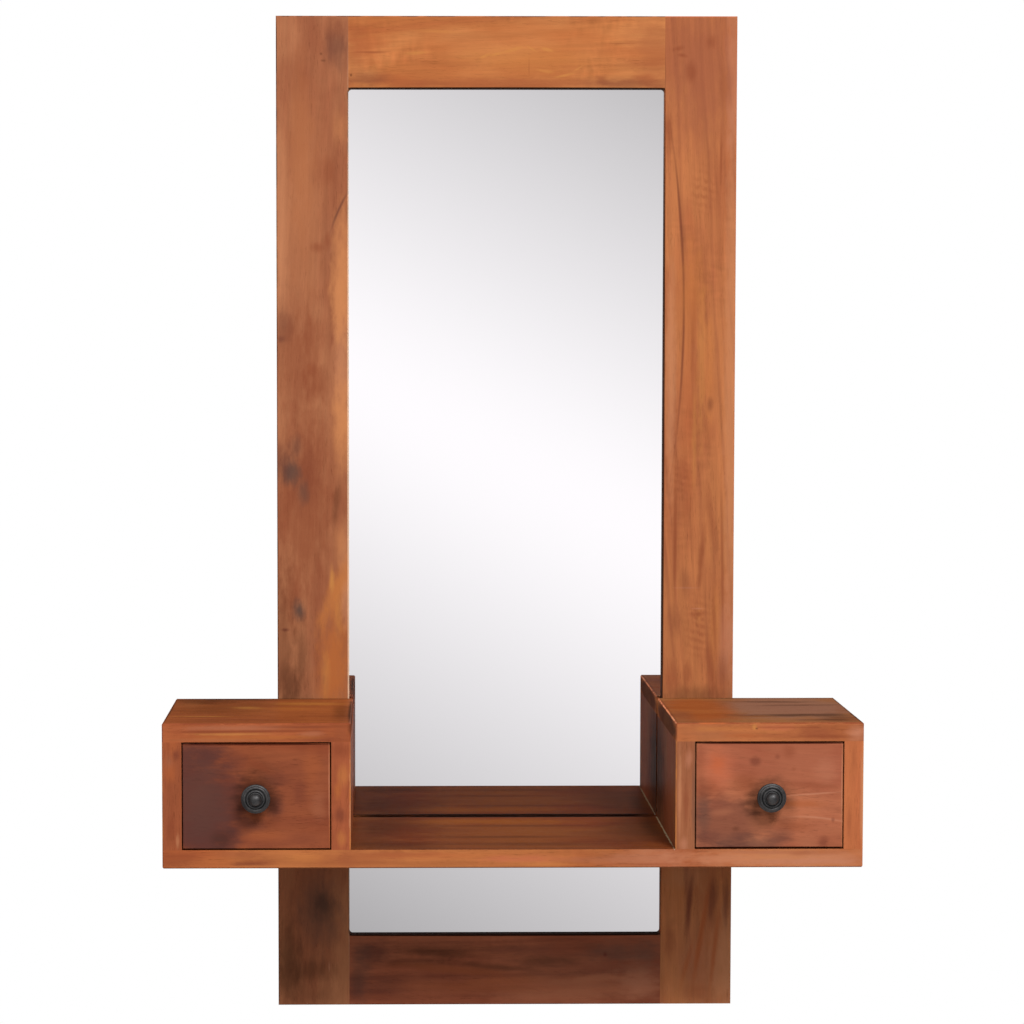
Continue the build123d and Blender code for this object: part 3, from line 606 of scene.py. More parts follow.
BOARDS = {
    "left_stile": Board(
        "ZXY", srgb(179, 118, 82), srgb(160, 97, 67), srgb(138, 76, 54), seed=1.3,
        pith=(-90, 60), lean=(0.03, 0.02), figure=0.42, ripple=0.15, marks=LEFT_STILE_MARKS,
        edge=UMBER,
    ),
    "right_stile": Board(
        "ZXY", srgb(186, 117, 73), srgb(173, 103, 66), srgb(140, 76, 54), seed=7.9,
        pith=(90, 45), lean=(-0.04, 0.03), figure=0.95, ripple=0.3, marks=RIGHT_STILE_MARKS,
        edge=COPPER,
    ),
    "top_rail": Board(
        "XZY", srgb(197, 130, 78), srgb(184, 112, 64), srgb(164, 92, 56), seed=3.1,
        pith=(140, 70), lean=(0.02, 0.03), figure=0.8, ripple=0.5, marks=TOP_RAIL_MARKS,
        edge=UMBER,
    ),
    "bottom_rail": Board(
        "XZY", srgb(168, 98, 70), srgb(150, 82, 58), srgb(118, 62, 48), seed=5.7,
        pith=(-860, 60), lean=(0.05, 0.03), figure=0.7, marks=BOTTOM_RAIL_MARKS, edge=UMBER,
    ),
    "shelf_board": Board(
        "XYZ", srgb(188, 116, 68), COPPER, RUSSET, seed=11.2,
        pith=(-40, -690), lean=(0.02, 0.02), figure=0.7, marks=SHELF_MARKS,
        broad_face_shade=srgb(130, 113, 93), edge=COPPER,
    ),
    "left_box_top": Board(
        "XYZ", srgb(176, 98, 60), srgb(164, 88, 54), RUSSET, seed=13.4,
        pith=(-40, -600), lean=(0.03, 0.01), figure=0.8, marks=LEFT_TOP_MARKS,
        broad_face_shade=srgb(176, 172, 152), edge=RUSSET,
    ),
    "right_box_top": Board(
        "XYZ", srgb(184, 112, 68), srgb(174, 99, 62), RUSSET, seed=17.8,
        pith=(-90, -590), lean=(-0.03, 0.02), figure=0.9, marks=RIGHT_TOP_MARKS,
        # painted shade with a grey cast, a painted reflection of pale surroundings in the top
        broad_face_shade=srgb(164, 172, 172), edge=RUSSET,
    ),
    "left_box_outer_side": Board(
        "ZYX", COPPER, SIENNA, RUSSET, seed=19.1,
        pith=(-40, -350), marks=LEFT_OUTER_SIDE_MARKS,
    ),
    "left_box_inner_side": Board(
        "ZYX", srgb(168, 92, 60), SIENNA, RUSSET, seed=23.6,
        pith=(-40, -100), marks=LEFT_INNER_SIDE_MARKS, broad_face_shade=srgb(170, 166, 162),
    ),
    "right_box_inner_side": Board(
        "ZYX", srgb(162, 102, 70), SIENNA, RUSSET, seed=29.2,
        pith=(-90, 100), marks=RIGHT_INNER_SIDE_MARKS, broad_face_shade=srgb(176, 160, 146),
    ),
    "right_box_outer_side": Board(
        "ZYX", srgb(190, 112, 70), srgb(180, 102, 66), COPPER, seed=31.5,
        pith=(-90, 360), marks=RIGHT_OUTER_SIDE_MARKS,
    ),
    "left_drawer_front": Board(
        "XZY", SIENNA, RUSSET, CLARET, seed=37.7,
        pith=(-640, -60), lean=(0.1, 0.05), figure=0.25, ripple=0.1, marks=LEFT_FRONT_MARKS,
        edge=COPPER,
    ),
    "right_drawer_front": Board(
        "XZY", srgb(182, 111, 79), srgb(166, 94, 69), RUSSET, seed=41.3,
        pith=(-700, -60), lean=(-0.12, 0.05), figure=0.3, ripple=0.1, marks=RIGHT_FRONT_MARKS,
        edge=TAN,
    ),
}


def drawer_box_boards():
    """The plainer boards of the two drawers, paler because only their fronts are stained."""
    boards = {}
    for hand, seed in zip(HANDS, (47.0, 57.0)):
        name = f"{hand}_drawer"
        boards[f"{name}_left_side"] = Board("YZX", STRAW, HONEY, AMBER, seed)
        boards[f"{name}_right_side"] = Board("YZX", STRAW, HONEY, COPPER, seed + 2)
        boards[f"{name}_back"] = Board("XZY", STRAW, HONEY, AMBER, seed + 4)
    return boards


BOARDS.update(drawer_box_boards())

FRAME_BOARDS = ("left_stile", "right_stile", "top_rail", "bottom_rail")
UNIT_BOARDS = ("shelf_board",) + tuple(
    f"{hand}_box_{board}" for hand in HANDS for board in ("top", "outer_side", "inner_side")
)
DRAWER_BOARDS = tuple(
    f"{hand}_drawer_{board}"
    for hand in HANDS for board in ("front", "left_side", "right_side", "back")
)
PANELS = {
    "backing_panel": "ZXY",
    "left_box_back": "XZY",
    "right_box_back": "XZY",
    "left_drawer_bottom": "XYZ",
    "right_drawer_bottom": "XYZ",
}


# ------------------------------------------------------------------ node trees
class Graph:
    """Adds nodes to a tree. An input is given a number, a colour or another node's output, and
    what comes back is the output of the new node, or the list of its outputs from split."""

    def __init__(self, tree):
        self.tree = tree

    def feed(self, socket, value):
        if isinstance(value, bpy.types.NodeSocket):
            self.tree.links.new(value, socket)
        else:
            socket.default_value = value

    def add(self, kind, inputs, output=0, **settings):
        node = self.tree.nodes.new(kind)
        for name, value in settings.items():
            setattr(node, name, value)
        for socket, value in inputs.items():
            self.feed(node.inputs[socket], value)
        return node.outputs[output]

    def math(self, operation, first, second=0.0, third=0.0):
        inputs = {0: first, 1: second, 2: third}
        return self.add("ShaderNodeMath", inputs, operation=operation)

    def times(self, first, second):
        return self.math("MULTIPLY", first, second)

    def plus(self, first, second):
        return self.math("ADD", first, second)

    def minus(self, first, second):
        return self.math("SUBTRACT", first, second)

    def times_plus(self, first, second, third):
        return self.math("MULTIPLY_ADD", first, second, third)

    def vector(self, operation, first, second=(0.0, 0.0, 0.0)):
        return self.add("ShaderNodeVectorMath", {0: first, 1: second}, operation=operation)

    def length(self, place):
        return self.add("ShaderNodeVectorMath", {0: place}, output="Value", operation="LENGTH")

    def split(self, vector):
        node = self.tree.nodes.new("ShaderNodeSeparateXYZ")
        self.feed(node.inputs[0], vector)
        return list(node.outputs)

    def join(self, x, y, z):
        return self.add("ShaderNodeCombineXYZ", {0: x, 1: y, 2: z})

    def mix(self, share, first, second, blend="MIX"):
        inputs = {0: share, 6: first, 7: second}
        return self.add("ShaderNodeMix", inputs, 2, data_type="RGBA", blend_type=blend)

    def noise(self, place, scale, detail=2.0, roughness=0.5, output=0):
        inputs = {"Vector": place, "Scale": scale, "Detail": detail, "Roughness": roughness}
        return self.add("ShaderNodeTexNoise", inputs, output)

    def grain(self, place, along, across, detail=2.0, roughness=0.5, output=0):
        """Noise with so many waves per metre along the grain and across it."""
        scaled = self.vector("MULTIPLY", place, (along, across, across))
        return self.noise(scaled, 1.0, detail, roughness, output)

    def spread(self, value, low, high, to_low=0.0, to_high=1.0, steps="SMOOTHSTEP"):
        inputs = {0: value, 1: low, 2: high, 3: to_low, 4: to_high}
        return self.add("ShaderNodeMapRange", inputs, interpolation_type=steps)


def new_group(name, inputs, outputs):
    """A shader node group with the named sockets, as a graph, its inputs and its outputs."""
    tree = bpy.data.node_groups.new(name, "ShaderNodeTree")
    for label, kind in inputs:
        tree.interface.new_socket(label, in_out="INPUT", socket_type=f"NodeSocket{kind}")
    for label, kind in outputs:
        tree.interface.new_socket(label, in_out="OUTPUT", socket_type=f"NodeSocket{kind}")
    given = tree.nodes.new("NodeGroupInput").outputs
    result = tree.nodes.new("NodeGroupOutput").inputs
    return Graph(tree), given, result


def new_material(name):
    """An empty node material, its graph, and its surface shader with the output linked."""
    material = bpy.data.materials.new(name)
    material.use_nodes = True
    tree = material.node_tree
    tree.nodes.clear()
    surface = tree.nodes.new("ShaderNodeBsdfPrincipled")
    output = tree.nodes.new("ShaderNodeOutputMaterial")
    tree.links.new(surface.outputs[0], output.inputs["Surface"])
    return material, Graph(tree), surface.inputs


def object_place(graph):
    """Where a point of the piece is, in metres."""
    return graph.add("ShaderNodeTexCoord", {}, "Object")


def board_place(graph, axes):
    """The place of a point along, across and through a board, and how far it faces each way."""
    here = graph.split(object_place(graph))
    facing = graph.split(graph.add("ShaderNodeNewGeometry", {}, "Normal"))
    order = ["XYZ".index(axis) for axis in axes]
    place = graph.join(*[here[i] for i in order])
    return place, [graph.math("ABSOLUTE", facing[i]) for i in order]


def relief(graph, height, depth, strength=1.0):
    """A normal from a height, where a height of 1 stands this many metres proud."""
    inputs = {"Height": height, "Distance": depth, "Strength": strength}
    return graph.add("ShaderNodeBump", inputs)


# ------------------------------------------------------------------ wood
def pith_offsets(graph, given, place):
    """How far a point is from the pith, across and through the board. The pith leans and wanders
    along it."""
    wander_size = 16 * MM
    along, across, through = graph.split(given["Place"])
    wander = graph.split(graph.grain(place, 3.0, 11.0, output="Color"))
    offsets = []
    for value, way, drift in ((across, "Across", wander[0]), (through, "Through", wander[1])):
        leaning = graph.times(along, given[f"Lean {way}"])
        offset = graph.minus(graph.minus(value, given[f"Pith {way}"]), leaning)
        offsets.append(graph.times_plus(graph.minus(drift, 0.5), wander_size, offset))
    return along, *offsets


def growth_rings(graph, place, radius, seed):
    """Dark late wood, stronger in some years than in others."""
    ring_spacing = 6.5 * MM
    turns = graph.math("DIVIDE", radius, ring_spacing)
    wobble = graph.times(graph.grain(place, 9.0, 60.0), 0.9)
    wave = graph.math("SINE", graph.times(graph.plus(turns, wobble), math.tau))
    late = graph.math("POWER", graph.times_plus(wave, 0.5, 0.5), 2.5)
    years = graph.noise(graph.join(seed, turns, 0.0), 0.55, 1.0)
    return graph.times(late, graph.spread(years, 0.42, 0.64))


def cross_ripples(graph, place, amount):
    """Ripples that lie across the grain, in patches."""
    patch = graph.spread(graph.grain(place, 14.0, 26.0), 0.48, 0.68)
    wave = graph.minus(graph.grain(place, 170.0, 60.0, 1.0), 0.5)
    return graph.times(graph.times(patch, wave), amount)


def open_pores(graph, place, broad):
    """Pores, short along the grain and denser in the dark streaks."""
    field = graph.grain(place, 120.0, 2300.0, 1.0)
    patch = graph.spread(broad, 0.35, 0.65, 0.35, 1.0)
    return graph.times(graph.spread(field, 0.63, 0.72), patch)


def solid_wood_group():
    """Solid wood: growth rings round a pith, fibres that follow them, ripples and pores."""
    graph, given, result = new_group(
        "solid_wood",
        [("Place", "Vector"), ("Seed", "Float"), ("Pith Across", "Float"),
         ("Pith Through", "Float"), ("Lean Across", "Float"), ("Lean Through", "Float"),
         ("Pale", "Color"), ("Warm", "Color"), ("Dark", "Color"),
         ("Figure", "Float"), ("Ripple", "Float")],
        [("Color", "Color"), ("Height", "Float"), ("Dullness", "Float")],
    )
    pale, warm, dark, figure, seed = (
        given[label] for label in ("Pale", "Warm", "Dark", "Figure", "Seed")
    )

    # each board is cut from another part of the tree
    shift = graph.join(seed, graph.times(seed, 1.7), seed)
    place = graph.vector("ADD", given["Place"], shift)
    along, side, depth = pith_offsets(graph, given, place)
    radius = graph.length(graph.join(0.0, side, depth))
    layer = graph.join(graph.plus(along, seed), radius, graph.plus(side, depth))
    rings = growth_rings(graph, place, radius, seed)

    # streaks and fibres
    broad = graph.grain(graph.vector("MULTIPLY", layer, (1.0, 1.0, 0.35)), 3.5, 75.0, 3.0, 0.55)
    middle = graph.grain(graph.vector("MULTIPLY", layer, (1.0, 1.0, 0.5)), 11.0, 300.0, 3.0, 0.6)
    fibre = graph.grain(place, 45.0, 1500.0, 2.0, 0.6)

    # clouds of colour, as a finish soaks in unevenly
    cloud = graph.grain(place, 9.0, 22.0, 3.0)
    blotch = graph.grain(graph.vector("ADD", place, (3.0, 5.0, 7.0)), 14.0, 30.0, 2.0, 0.45)
    haze = graph.grain(place, 4.0, 12.0)

    ripples = cross_ripples(graph, place, given["Ripple"])
    pores = open_pores(graph, place, broad)

    colour = graph.mix(graph.spread(cloud, 0.38, 0.62), pale, warm)
    dark_streaks = graph.times(graph.spread(broad, 0.5, 0.74), figure)
    colour = graph.mix(graph.times(dark_streaks, 0.7), colour, dark)
    dark_rings = graph.times(graph.times(rings, figure), 0.4)
    colour = graph.mix(dark_rings, colour, dark)
    colour = graph.mix(graph.spread(haze, 0.5, 0.72, 0.0, 0.4), colour, dark)
    colour = graph.mix(graph.spread(blotch, 0.5, 0.7, 0.0, 0.35), colour, pale)

    # lightness: streaks, fibres and ripples
    contrast = graph.times_plus(figure, 0.22, 0.24)
    light = graph.times_plus(graph.minus(middle, 0.5), contrast, 1.0)
    light = graph.times_plus(graph.minus(fibre, 0.5), 0.2, light)
    light = graph.plus(ripples, light)
    colour = graph.vector("MULTIPLY", colour, graph.join(light, light, light))
    colour = graph.mix(graph.times(pores, 0.3), colour, UMBER, "MULTIPLY")

    graph.feed(result["Color"], colour)
    height = graph.times_plus(fibre, 0.45, graph.times(rings, 0.25))
    graph.feed(result["Height"], graph.minus(height, pores))
    dull = graph.times_plus(graph.minus(fibre, 0.5), 0.3, 0.0)
    graph.feed(result["Dullness"], graph.times_plus(pores, 0.2, dull))
    return graph.tree


# how far a board's lumps push the edge of a mark, and where the mark has ended, in half sizes
EDGE_PUSH = 3.0
EDGE_END = 1.2
# how far the lumps push the ripples along, in radians, and how much the ripples slant
RIPPLE_UNEVEN = 7.0
RIPPLE_SLANT = 0.3


def mark_group(name, rippled):
    """A stain, knot or vein laid over a board's colour, with an uneven edge. A rippled one is cut
    into stripes across the grain."""
    graph, given, result = new_group(
        name,
        [("Color", "Color"), ("Place", "Vector"), ("Lumps", "Float"), ("Middle", "Vector"),
         ("Half Size", "Vector"), ("Turn", "Float"), ("Bend", "Float"), ("Soft", "Float"),
         ("Wander", "Float"), ("Tint", "Color"), ("Strength", "Float"), ("Ripple Rate", "Float")],
        [("Color", "Color")],
    )
    along, across, through = graph.split(graph.vector("SUBTRACT", given["Place"], given["Middle"]))
    side = graph.minus(across, graph.times(along, given["Turn"]))
    bow = graph.times(graph.times(along, along), given["Bend"])
    side = graph.minus(side, bow)
    offset = graph.vector("DIVIDE", graph.join(along, side, through), given["Half Size"])
    edge = graph.times(graph.minus(given["Lumps"], 0.5), given["Wander"])
    reach = graph.times_plus(edge, EDGE_PUSH, graph.length(offset))
    inner = graph.minus(1.0, given["Soft"])
    share = graph.times(graph.spread(reach, inner, EDGE_END, 1.0, 0.0), given["Strength"])
    if rippled:
        uneven = graph.times(graph.minus(given["Lumps"], 0.5), RIPPLE_UNEVEN)
        slant = graph.times_plus(across, RIPPLE_SLANT, along)
        wave = graph.times_plus(slant, given["Ripple Rate"], uneven)
        stripes = graph.spread(graph.math("SINE", wave), -0.9, 1.0)
        patchy = graph.spread(given["Lumps"], 0.36, 0.6)
        share = graph.times(share, graph.times(stripes, patchy))
    graph.feed(result["Color"], graph.mix(share, given["Color"], given["Tint"]))
    return graph.tree


def add_mark(graph, colour, place, lumps, mark):
    """Lays one mark over the colour of a board."""
    node = graph.tree.nodes.new("ShaderNodeGroup")
    node.node_tree = bpy.data.node_groups["rippled_mark" if mark.pitch else "board_mark"]
    values = {
        "Color": colour, "Place": place, "Lumps": lumps,
        "Middle": [value * MM for value in (mark.along, mark.across, mark.through)],
        "Half Size": [value * MM for value in (mark.length, mark.width, mark.depth)],
        "Turn": math.tan(math.radians(mark.turn)), "Bend": mark.bend,
        "Soft": mark.soft, "Wander": mark.wander,
        "Tint": mark.tint, "Strength": mark.strength,
        "Ripple Rate": math.tau / (mark.pitch * MM) if mark.pitch else 0.0,
    }
    for name, value in values.items():
        graph.feed(node.inputs[name], value)
    return node.outputs[0]


def wood_material(name, board):
    """The satin finish of one board, with its own figure, marks, end grain and worn edges."""
    settings = bpy.context.scene.mirror_wood
    material, graph, surface = new_material(f"{name}_wood")
    place, facing = board_place(graph, board.axes)

    wood = graph.tree.nodes.new("ShaderNodeGroup")
    wood.node_tree = bpy.data.node_groups["solid_wood"]
    values = {
        "Place": place, "Seed": board.seed,
        "Pith Across": board.pith[0] * MM, "Pith Through": board.pith[1] * MM,
        "Lean Across": board.lean[0], "Lean Through": board.lean[1],
        "Pale": board.pale, "Warm": board.warm, "Dark": board.dark,
        "Figure": board.figure, "Ripple": board.ripple,
    }
    for label, value in values.items():
        graph.feed(wood.inputs[label], value)
    colour = wood.outputs["Color"]
    lumps = graph.grain(place, 60.0, 160.0, 3.0, 0.6)

    # rubbed corners, the marks over them, painted shade on the broad faces, and darker end grain
    flatness = graph.math("MAXIMUM", graph.math("MAXIMUM", *facing[:2]), facing[2])
    eased = graph.spread(flatness, 0.8, 0.95, 1.0, 0.0)
    rub = graph.spread(lumps, 0.38, 0.6, 0.25, 0.85)
    colour = graph.mix(graph.times(eased, rub), colour, board.edge)
    for mark in board.marks:
        colour = add_mark(graph, colour, place, lumps, mark)
    # painted shade: the broad faces of the shelf, the box tops and the inner sides are multiplied
    # by a darker colour
    broad_face = graph.spread(facing[2], 0.8, 0.95)
    colour = graph.mix(broad_face, colour, board.broad_face_shade, "MULTIPLY")
    end_grain = graph.spread(facing[0], 0.8, 0.95)
    end_dark, end_dull = 0.35, 0.2
    colour = graph.mix(graph.times(end_grain, end_dark), colour, UMBER, "MULTIPLY")

    graph.feed(surface["Base Color"], colour)
    dull = graph.plus(wood.outputs["Dullness"], settings.roughness)
    graph.feed(surface["Roughness"], graph.times_plus(end_grain, end_dull, dull))
    surface["Specular IOR Level"].default_value = settings.specular
    surface["IOR"].default_value = settings.ior
    surface["Diffuse Roughness"].default_value = settings.nap
    graph.feed(surface["Normal"], relief(graph, wood.outputs["Height"], settings.relief))
    return material


def plywood_material(name, axes):
    """Thin plywood: a plain pale face veneer, and its plies where an edge shows."""
    material, graph, surface = new_material(f"{name}_plywood")
    place, facing = board_place(graph, axes)
    streak = graph.grain(place, 7.0, 130.0, 4.0, 0.6)
    fibre = graph.grain(place, 60.0, 1400.0)
    ply_pitch = 1.3 * MM
    plies = graph.math("SINE", graph.times(graph.split(place)[2], math.pi / ply_pitch))
    face = graph.mix(graph.spread(streak, 0.35, 0.7), srgb(206, 164, 116), srgb(170, 122, 80))
    layers = graph.mix(graph.spread(plies, -0.2, 0.2), srgb(120, 80, 50), srgb(190, 148, 102))
    on_edge = graph.spread(facing[2], 0.5, 0.7, 1.0, 0.0)
    colour = graph.mix(on_edge, face, layers)
    colour = graph.mix(graph.spread(fibre, 0.3, 0.7, 0.0, 0.35), colour, srgb(140, 98, 62))
    graph.feed(surface["Base Color"], colour)
    graph.feed(surface["Roughness"], graph.spread(fibre, 0.3, 0.7, 0.55, 0.72))
    graph.feed(surface["Normal"], relief(graph, fibre, 0.12 * MM))
    return material


# ------------------------------------------------------------------ glass and metals
def mirror_material():
    """Silvered glass, with the faintest haze left by wiping."""
    settings = bpy.context.scene.mirror_glass
    material, graph, surface = new_material("silvered_glass")
    strokes = (9.0, 9.0, 3.0)  # waves per metre: the cloth went up and down
    polished = (0.945, 0.922, 0.945, 1.0)
    place = graph.vector("MULTIPLY", object_place(graph), strokes)
    wiped = graph.noise(place, 1.0, 4.0, 0.6)
    graph.feed(surface["Base Color"], graph.mix(wiped, settings.tint, polished))
    surface["Metallic"].default_value = 1.0
    graph.feed(surface["Roughness"], graph.spread(wiped, 0.45, 0.75, 0.0, settings.haze))
    return material


def iron_material():
    """Blackened cast iron, waxed, with a fine pitted skin."""
    settings = bpy.context.scene.mirror_knob
    material, graph, surface = new_material("black_iron")
    here = object_place(graph)
    pits = graph.noise(here, 900.0, 3.0, 0.6)
    patches = graph.noise(here, 170.0, 3.0, 0.6)
    colour = graph.mix(graph.spread(patches, 0.35, 0.7), settings.iron, srgb(74, 72, 72))
    colour = graph.mix(graph.spread(pits, 0.55, 0.75, 0.0, 0.5), colour, srgb(36, 36, 38))
    graph.feed(surface["Base Color"], colour)
    surface["Metallic"].default_value = 0.75
    graph.feed(surface["Roughness"], graph.spread(patches, 0.3, 0.7, 0.42, 0.56))
    graph.feed(surface["Normal"], relief(graph, graph.plus(pits, patches), 0.12 * MM))
    return material


def zinc_material(name, bright, dull, spangle_size):
    """Zinc plated steel: pale crystals of slightly different greys, with fine scratches."""
    material, graph, surface = new_material(name)
    here = object_place(graph)
    cells = {"Vector": here, "Scale": 1 / spangle_size}
    crystal = graph.add("ShaderNodeTexVoronoi", cells, "Color")
    tone = graph.split(crystal)[0]
    scratch = graph.noise(graph.vector("MULTIPLY", here, (2600.0, 600.0, 160.0)), 1.0, 3.0, 0.7)
    colour = graph.mix(graph.spread(tone, 0.0, 1.0, 0.2, 0.8), bright, dull)
    colour = graph.mix(graph.spread(scratch, 0.55, 0.75, 0.0, 0.4), colour, srgb(98, 98, 96))
    graph.feed(surface["Base Color"], colour)
    surface["Metallic"].default_value = 1.0
    graph.feed(surface["Roughness"], graph.spread(scratch, 0.3, 0.7, 0.28, 0.48))
    graph.feed(surface["Normal"], relief(graph, graph.plus(tone, scratch), 0.03 * MM))
    return material


# ------------------------------------------------------------------ settings
class MIRROR_PG_wood(PropertyGroup):
    """The satin finish on every solid board."""

    roughness: FloatProperty(
        name="Roughness", description="How matt the wood is", default=0.44, min=0.0, max=1.0,
        subtype="FACTOR",
    )
    specular: FloatProperty(
        name="Specular", description="Gloss of the bare wood", default=0.1, min=0.0, max=1.0,
        subtype="FACTOR",
    )
    ior: FloatProperty(
        name="IOR", description="How strongly the wood shines at a low angle", default=1.1, min=1.0,
        max=2.0,
    )
    nap: FloatProperty(
        name="Nap", description="How much light the wood throws back to where it came from",
        default=1.0, min=0.0, max=1.0, subtype="FACTOR",
    )
    relief: FloatProperty(
        name="Grain Relief", description="Depth of the open grain", default=0.07 * MM,
        precision=5, unit="LENGTH",
    )


class MIRROR_PG_glass(PropertyGroup):
    """The silvered glass."""

    tint: FloatVectorProperty(
        name="Tint", description="Colour that the silvering gives to what it shows", size=4,
        default=(0.94, 0.916, 0.94, 1.0), subtype="COLOR",
    )
    haze: FloatProperty(
        name="Haze", description="Roughness where the glass was wiped", default=0.02, min=0.0,
        max=0.2, subtype="FACTOR",
    )


class MIRROR_PG_knob(PropertyGroup):
    """The turned iron knobs. Their length and width come from the frame."""

    iron: FloatVectorProperty(
        name="Iron", description="Colour of the blackened iron", size=4,
        default=srgb(56, 55, 56), subtype="COLOR",
    )
    base_radius: FloatProperty(
        name="Base Radius", description="Radius of the foot on the drawer", default=9.0 * MM,
        unit="LENGTH",
    )
    neck_radius: FloatProperty(
        name="Neck Radius", description="Radius of the waist", default=5.0 * MM, unit="LENGTH",
    )
    neck_height: FloatProperty(
        name="Neck Height", description="From the drawer to the underside of the head",
        default=9.0 * MM, unit="LENGTH",
    )
    segments: IntProperty(
        name="Segments", description="Facets round the knob", default=128, min=16, max=256,
    )


class MIRROR_PG_screws(PropertyGroup):
    """The cross-slotted screws."""

    slot_share: FloatProperty(
        name="Cross Width", description="Length of the cross as a share of the head's width",
        default=0.62, min=0.2, max=0.9, subtype="FACTOR",
    )
    slot_width: FloatProperty(
        name="Slot Width", description="Width of a slot as a share of the head's width",
        default=0.13, min=0.05, max=0.4, subtype="FACTOR",
    )
    pitch: FloatProperty(
        name="Thread Pitch", description="From one turn of the thread to the next",
        default=1.2 * MM, unit="LENGTH",
    )
    seed: IntProperty(
        name="Seed", description="Decides how far each screw was turned", default=4, min=0,
    )


class MIRROR_PG_stage(PropertyGroup):
    """Lamps, world and floor."""

    key_power: FloatProperty(
        name="Key Power", description="Power of the large lamp above, in front and to the right",
        default=110.0, min=0.0, unit="POWER",
    )
    second_power: FloatProperty(
        name="Second Power", description="Power of the lamp above, in front and to the left",
        default=29.0, min=0.0, unit="POWER",
    )
    fill: FloatProperty(
        name="Fill", description="Light that comes from all round", default=0.43, min=0.0,
    )
    floor_drop: FloatProperty(
        name="Floor Drop", description="From the foot of the mirror down to the floor",
        default=0.46, unit="LENGTH",
    )
    floor_radius: FloatProperty(
        name="Floor Radius", description="Where the floor has faded out", default=1.2,
        unit="LENGTH",
    )


class MIRROR_PG_camera(PropertyGroup):
    """Where the mirror is seen from."""

    place: FloatVectorProperty(
        name="Place", description="Where the camera stands", size=3,
        default=(-0.1071, -2.0371, -0.1949), subtype="XYZ", unit="LENGTH",
    )
    yaw: FloatProperty(
        name="Yaw", description="Turn to the right", default=math.radians(0.56), subtype="ANGLE",
    )
    pitch: FloatProperty(
        name="Pitch", description="Tilt upwards", default=math.radians(-2.87), subtype="ANGLE",
    )
    lens: FloatProperty(
        name="Lens", description="Focal length on a 36 mm sensor, in millimetres", default=78.44,
    )
    shift: FloatVectorProperty(
        name="Shift", description="Shift of the lens", size=2, default=(0.1, -0.065),
    )


# ------------------------------------------------------------------ meshes
def new_piece(name, mesh, material):
    """An object for a finished mesh, at the origin."""
    mesh.name = name
    mesh.materials.clear()
    mesh.materials.append(material)
    piece = bpy.data.objects.new(name, mesh)
    bpy.context.scene.collection.objects.link(piece)
    return piece


def finish_piece(piece, body, node):
    """Parents the piece to the body it rides on, and hides the CAD node it stands for."""
    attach(piece, body)
    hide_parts(node)


def lathe(profile, centre, segments):
    """A closed turned form that stands out along -Y from its centre. The profile runs from the
    axis at the foot to the axis at the tip, as pairs of radius and height."""
    bm = bmesh.new()
    rings = []
    for radius, height in profile:
        if radius == 0:
            rings.append([bm.verts.new(centre + Vector((0, -height, 0)))])
            continue
        turns = [math.tau * i / segments for i in range(segments)]
        rings.append([
            bm.verts.new(centre + Vector((radius * math.cos(a), -height, radius * math.sin(a))))
            for a in turns
        ])
    for low, high in zip(rings, rings[1:]):
        for i in range(segments):
            j = (i + 1) % segments
            turn = ((low, i), (low, j), (high, j), (high, i))
            corners = [ring[k % len(ring)] for ring, k in turn]
            bm.faces.new(list(dict.fromkeys(corners)))
    bmesh.ops.recalc_face_normals(bm, faces=bm.faces)
    mesh = bpy.data.meshes.new("turned")
    bm.to_mesh(mesh)
    bm.free()
    mesh.shade_smooth()
    mesh.set_sharp_from_angle(angle=math.radians(50))
    return mesh


def arc(centre, radius, start, end, steps=8):
    """Points of an arc in the profile's plane, with angles in degrees."""
    angles = [math.radians(start + (end - start) * i / steps) for i in range(steps + 1)]
    return [(centre[0] + radius * math.cos(a), centre[1] + radius * math.sin(a)) for a in angles]


def knob_profile(radius, height, settings):
    """Foot, waist, rim, a bead between two grooves, and a dome on a stepped shoulder."""
    base, neck, under = settings.base_radius, settings.neck_radius, settings.neck_height
    foot_round = 0.7 * MM
    waist_round, waist_height = 2.6 * MM, 4.0 * MM
    neck_round, neck_drop = 2.0 * MM, 2.2 * MM
    rim_round = 1.7 * MM
    face = under + 2 * rim_round
    bead_round, bead_place, bead_height = 1.25 * MM, radius * 0.77, face - 0.1 * MM
    step_round, step_place, step_height = bead_round * 0.8, radius * 0.56, face + 0.6 * MM
    dome_radius, dome_foot, dome_steps = radius * 0.44, face + 1.2 * MM, 16

    points = [(0, 0), (base - foot_round, 0)]
    points += arc((base - foot_round, foot_round), foot_round, -90, 90)
    points += arc((neck + waist_round, waist_height), waist_round, 270, 180)
    points += arc((neck + neck_round, under - neck_drop), neck_round, 180, 90)
    points += arc((radius - rim_round, under + rim_round), rim_round, -90, 100, 12)
    points += arc((bead_place, bead_height), bead_round, 15, 165, 12)
    points += arc((step_place, step_height), step_round, 20, 160, 8)
    rise = height - dome_foot
    quarter = [math.pi / 2 * i / dome_steps for i in range(dome_steps)]
    points += [(dome_radius * math.cos(a), dome_foot + rise * math.sin(a)) for a in quarter]
    points += [(0, height)]
    return points


def point_cloud(name, points):
    """An object whose vertices stand at the points."""
    mesh = bpy.data.meshes.new(name)
    mesh.from_pydata([tuple(point) for point in points], [], [])
    holder = bpy.data.objects.new(name, mesh)
    bpy.context.scene.collection.objects.link(holder)
    return holder


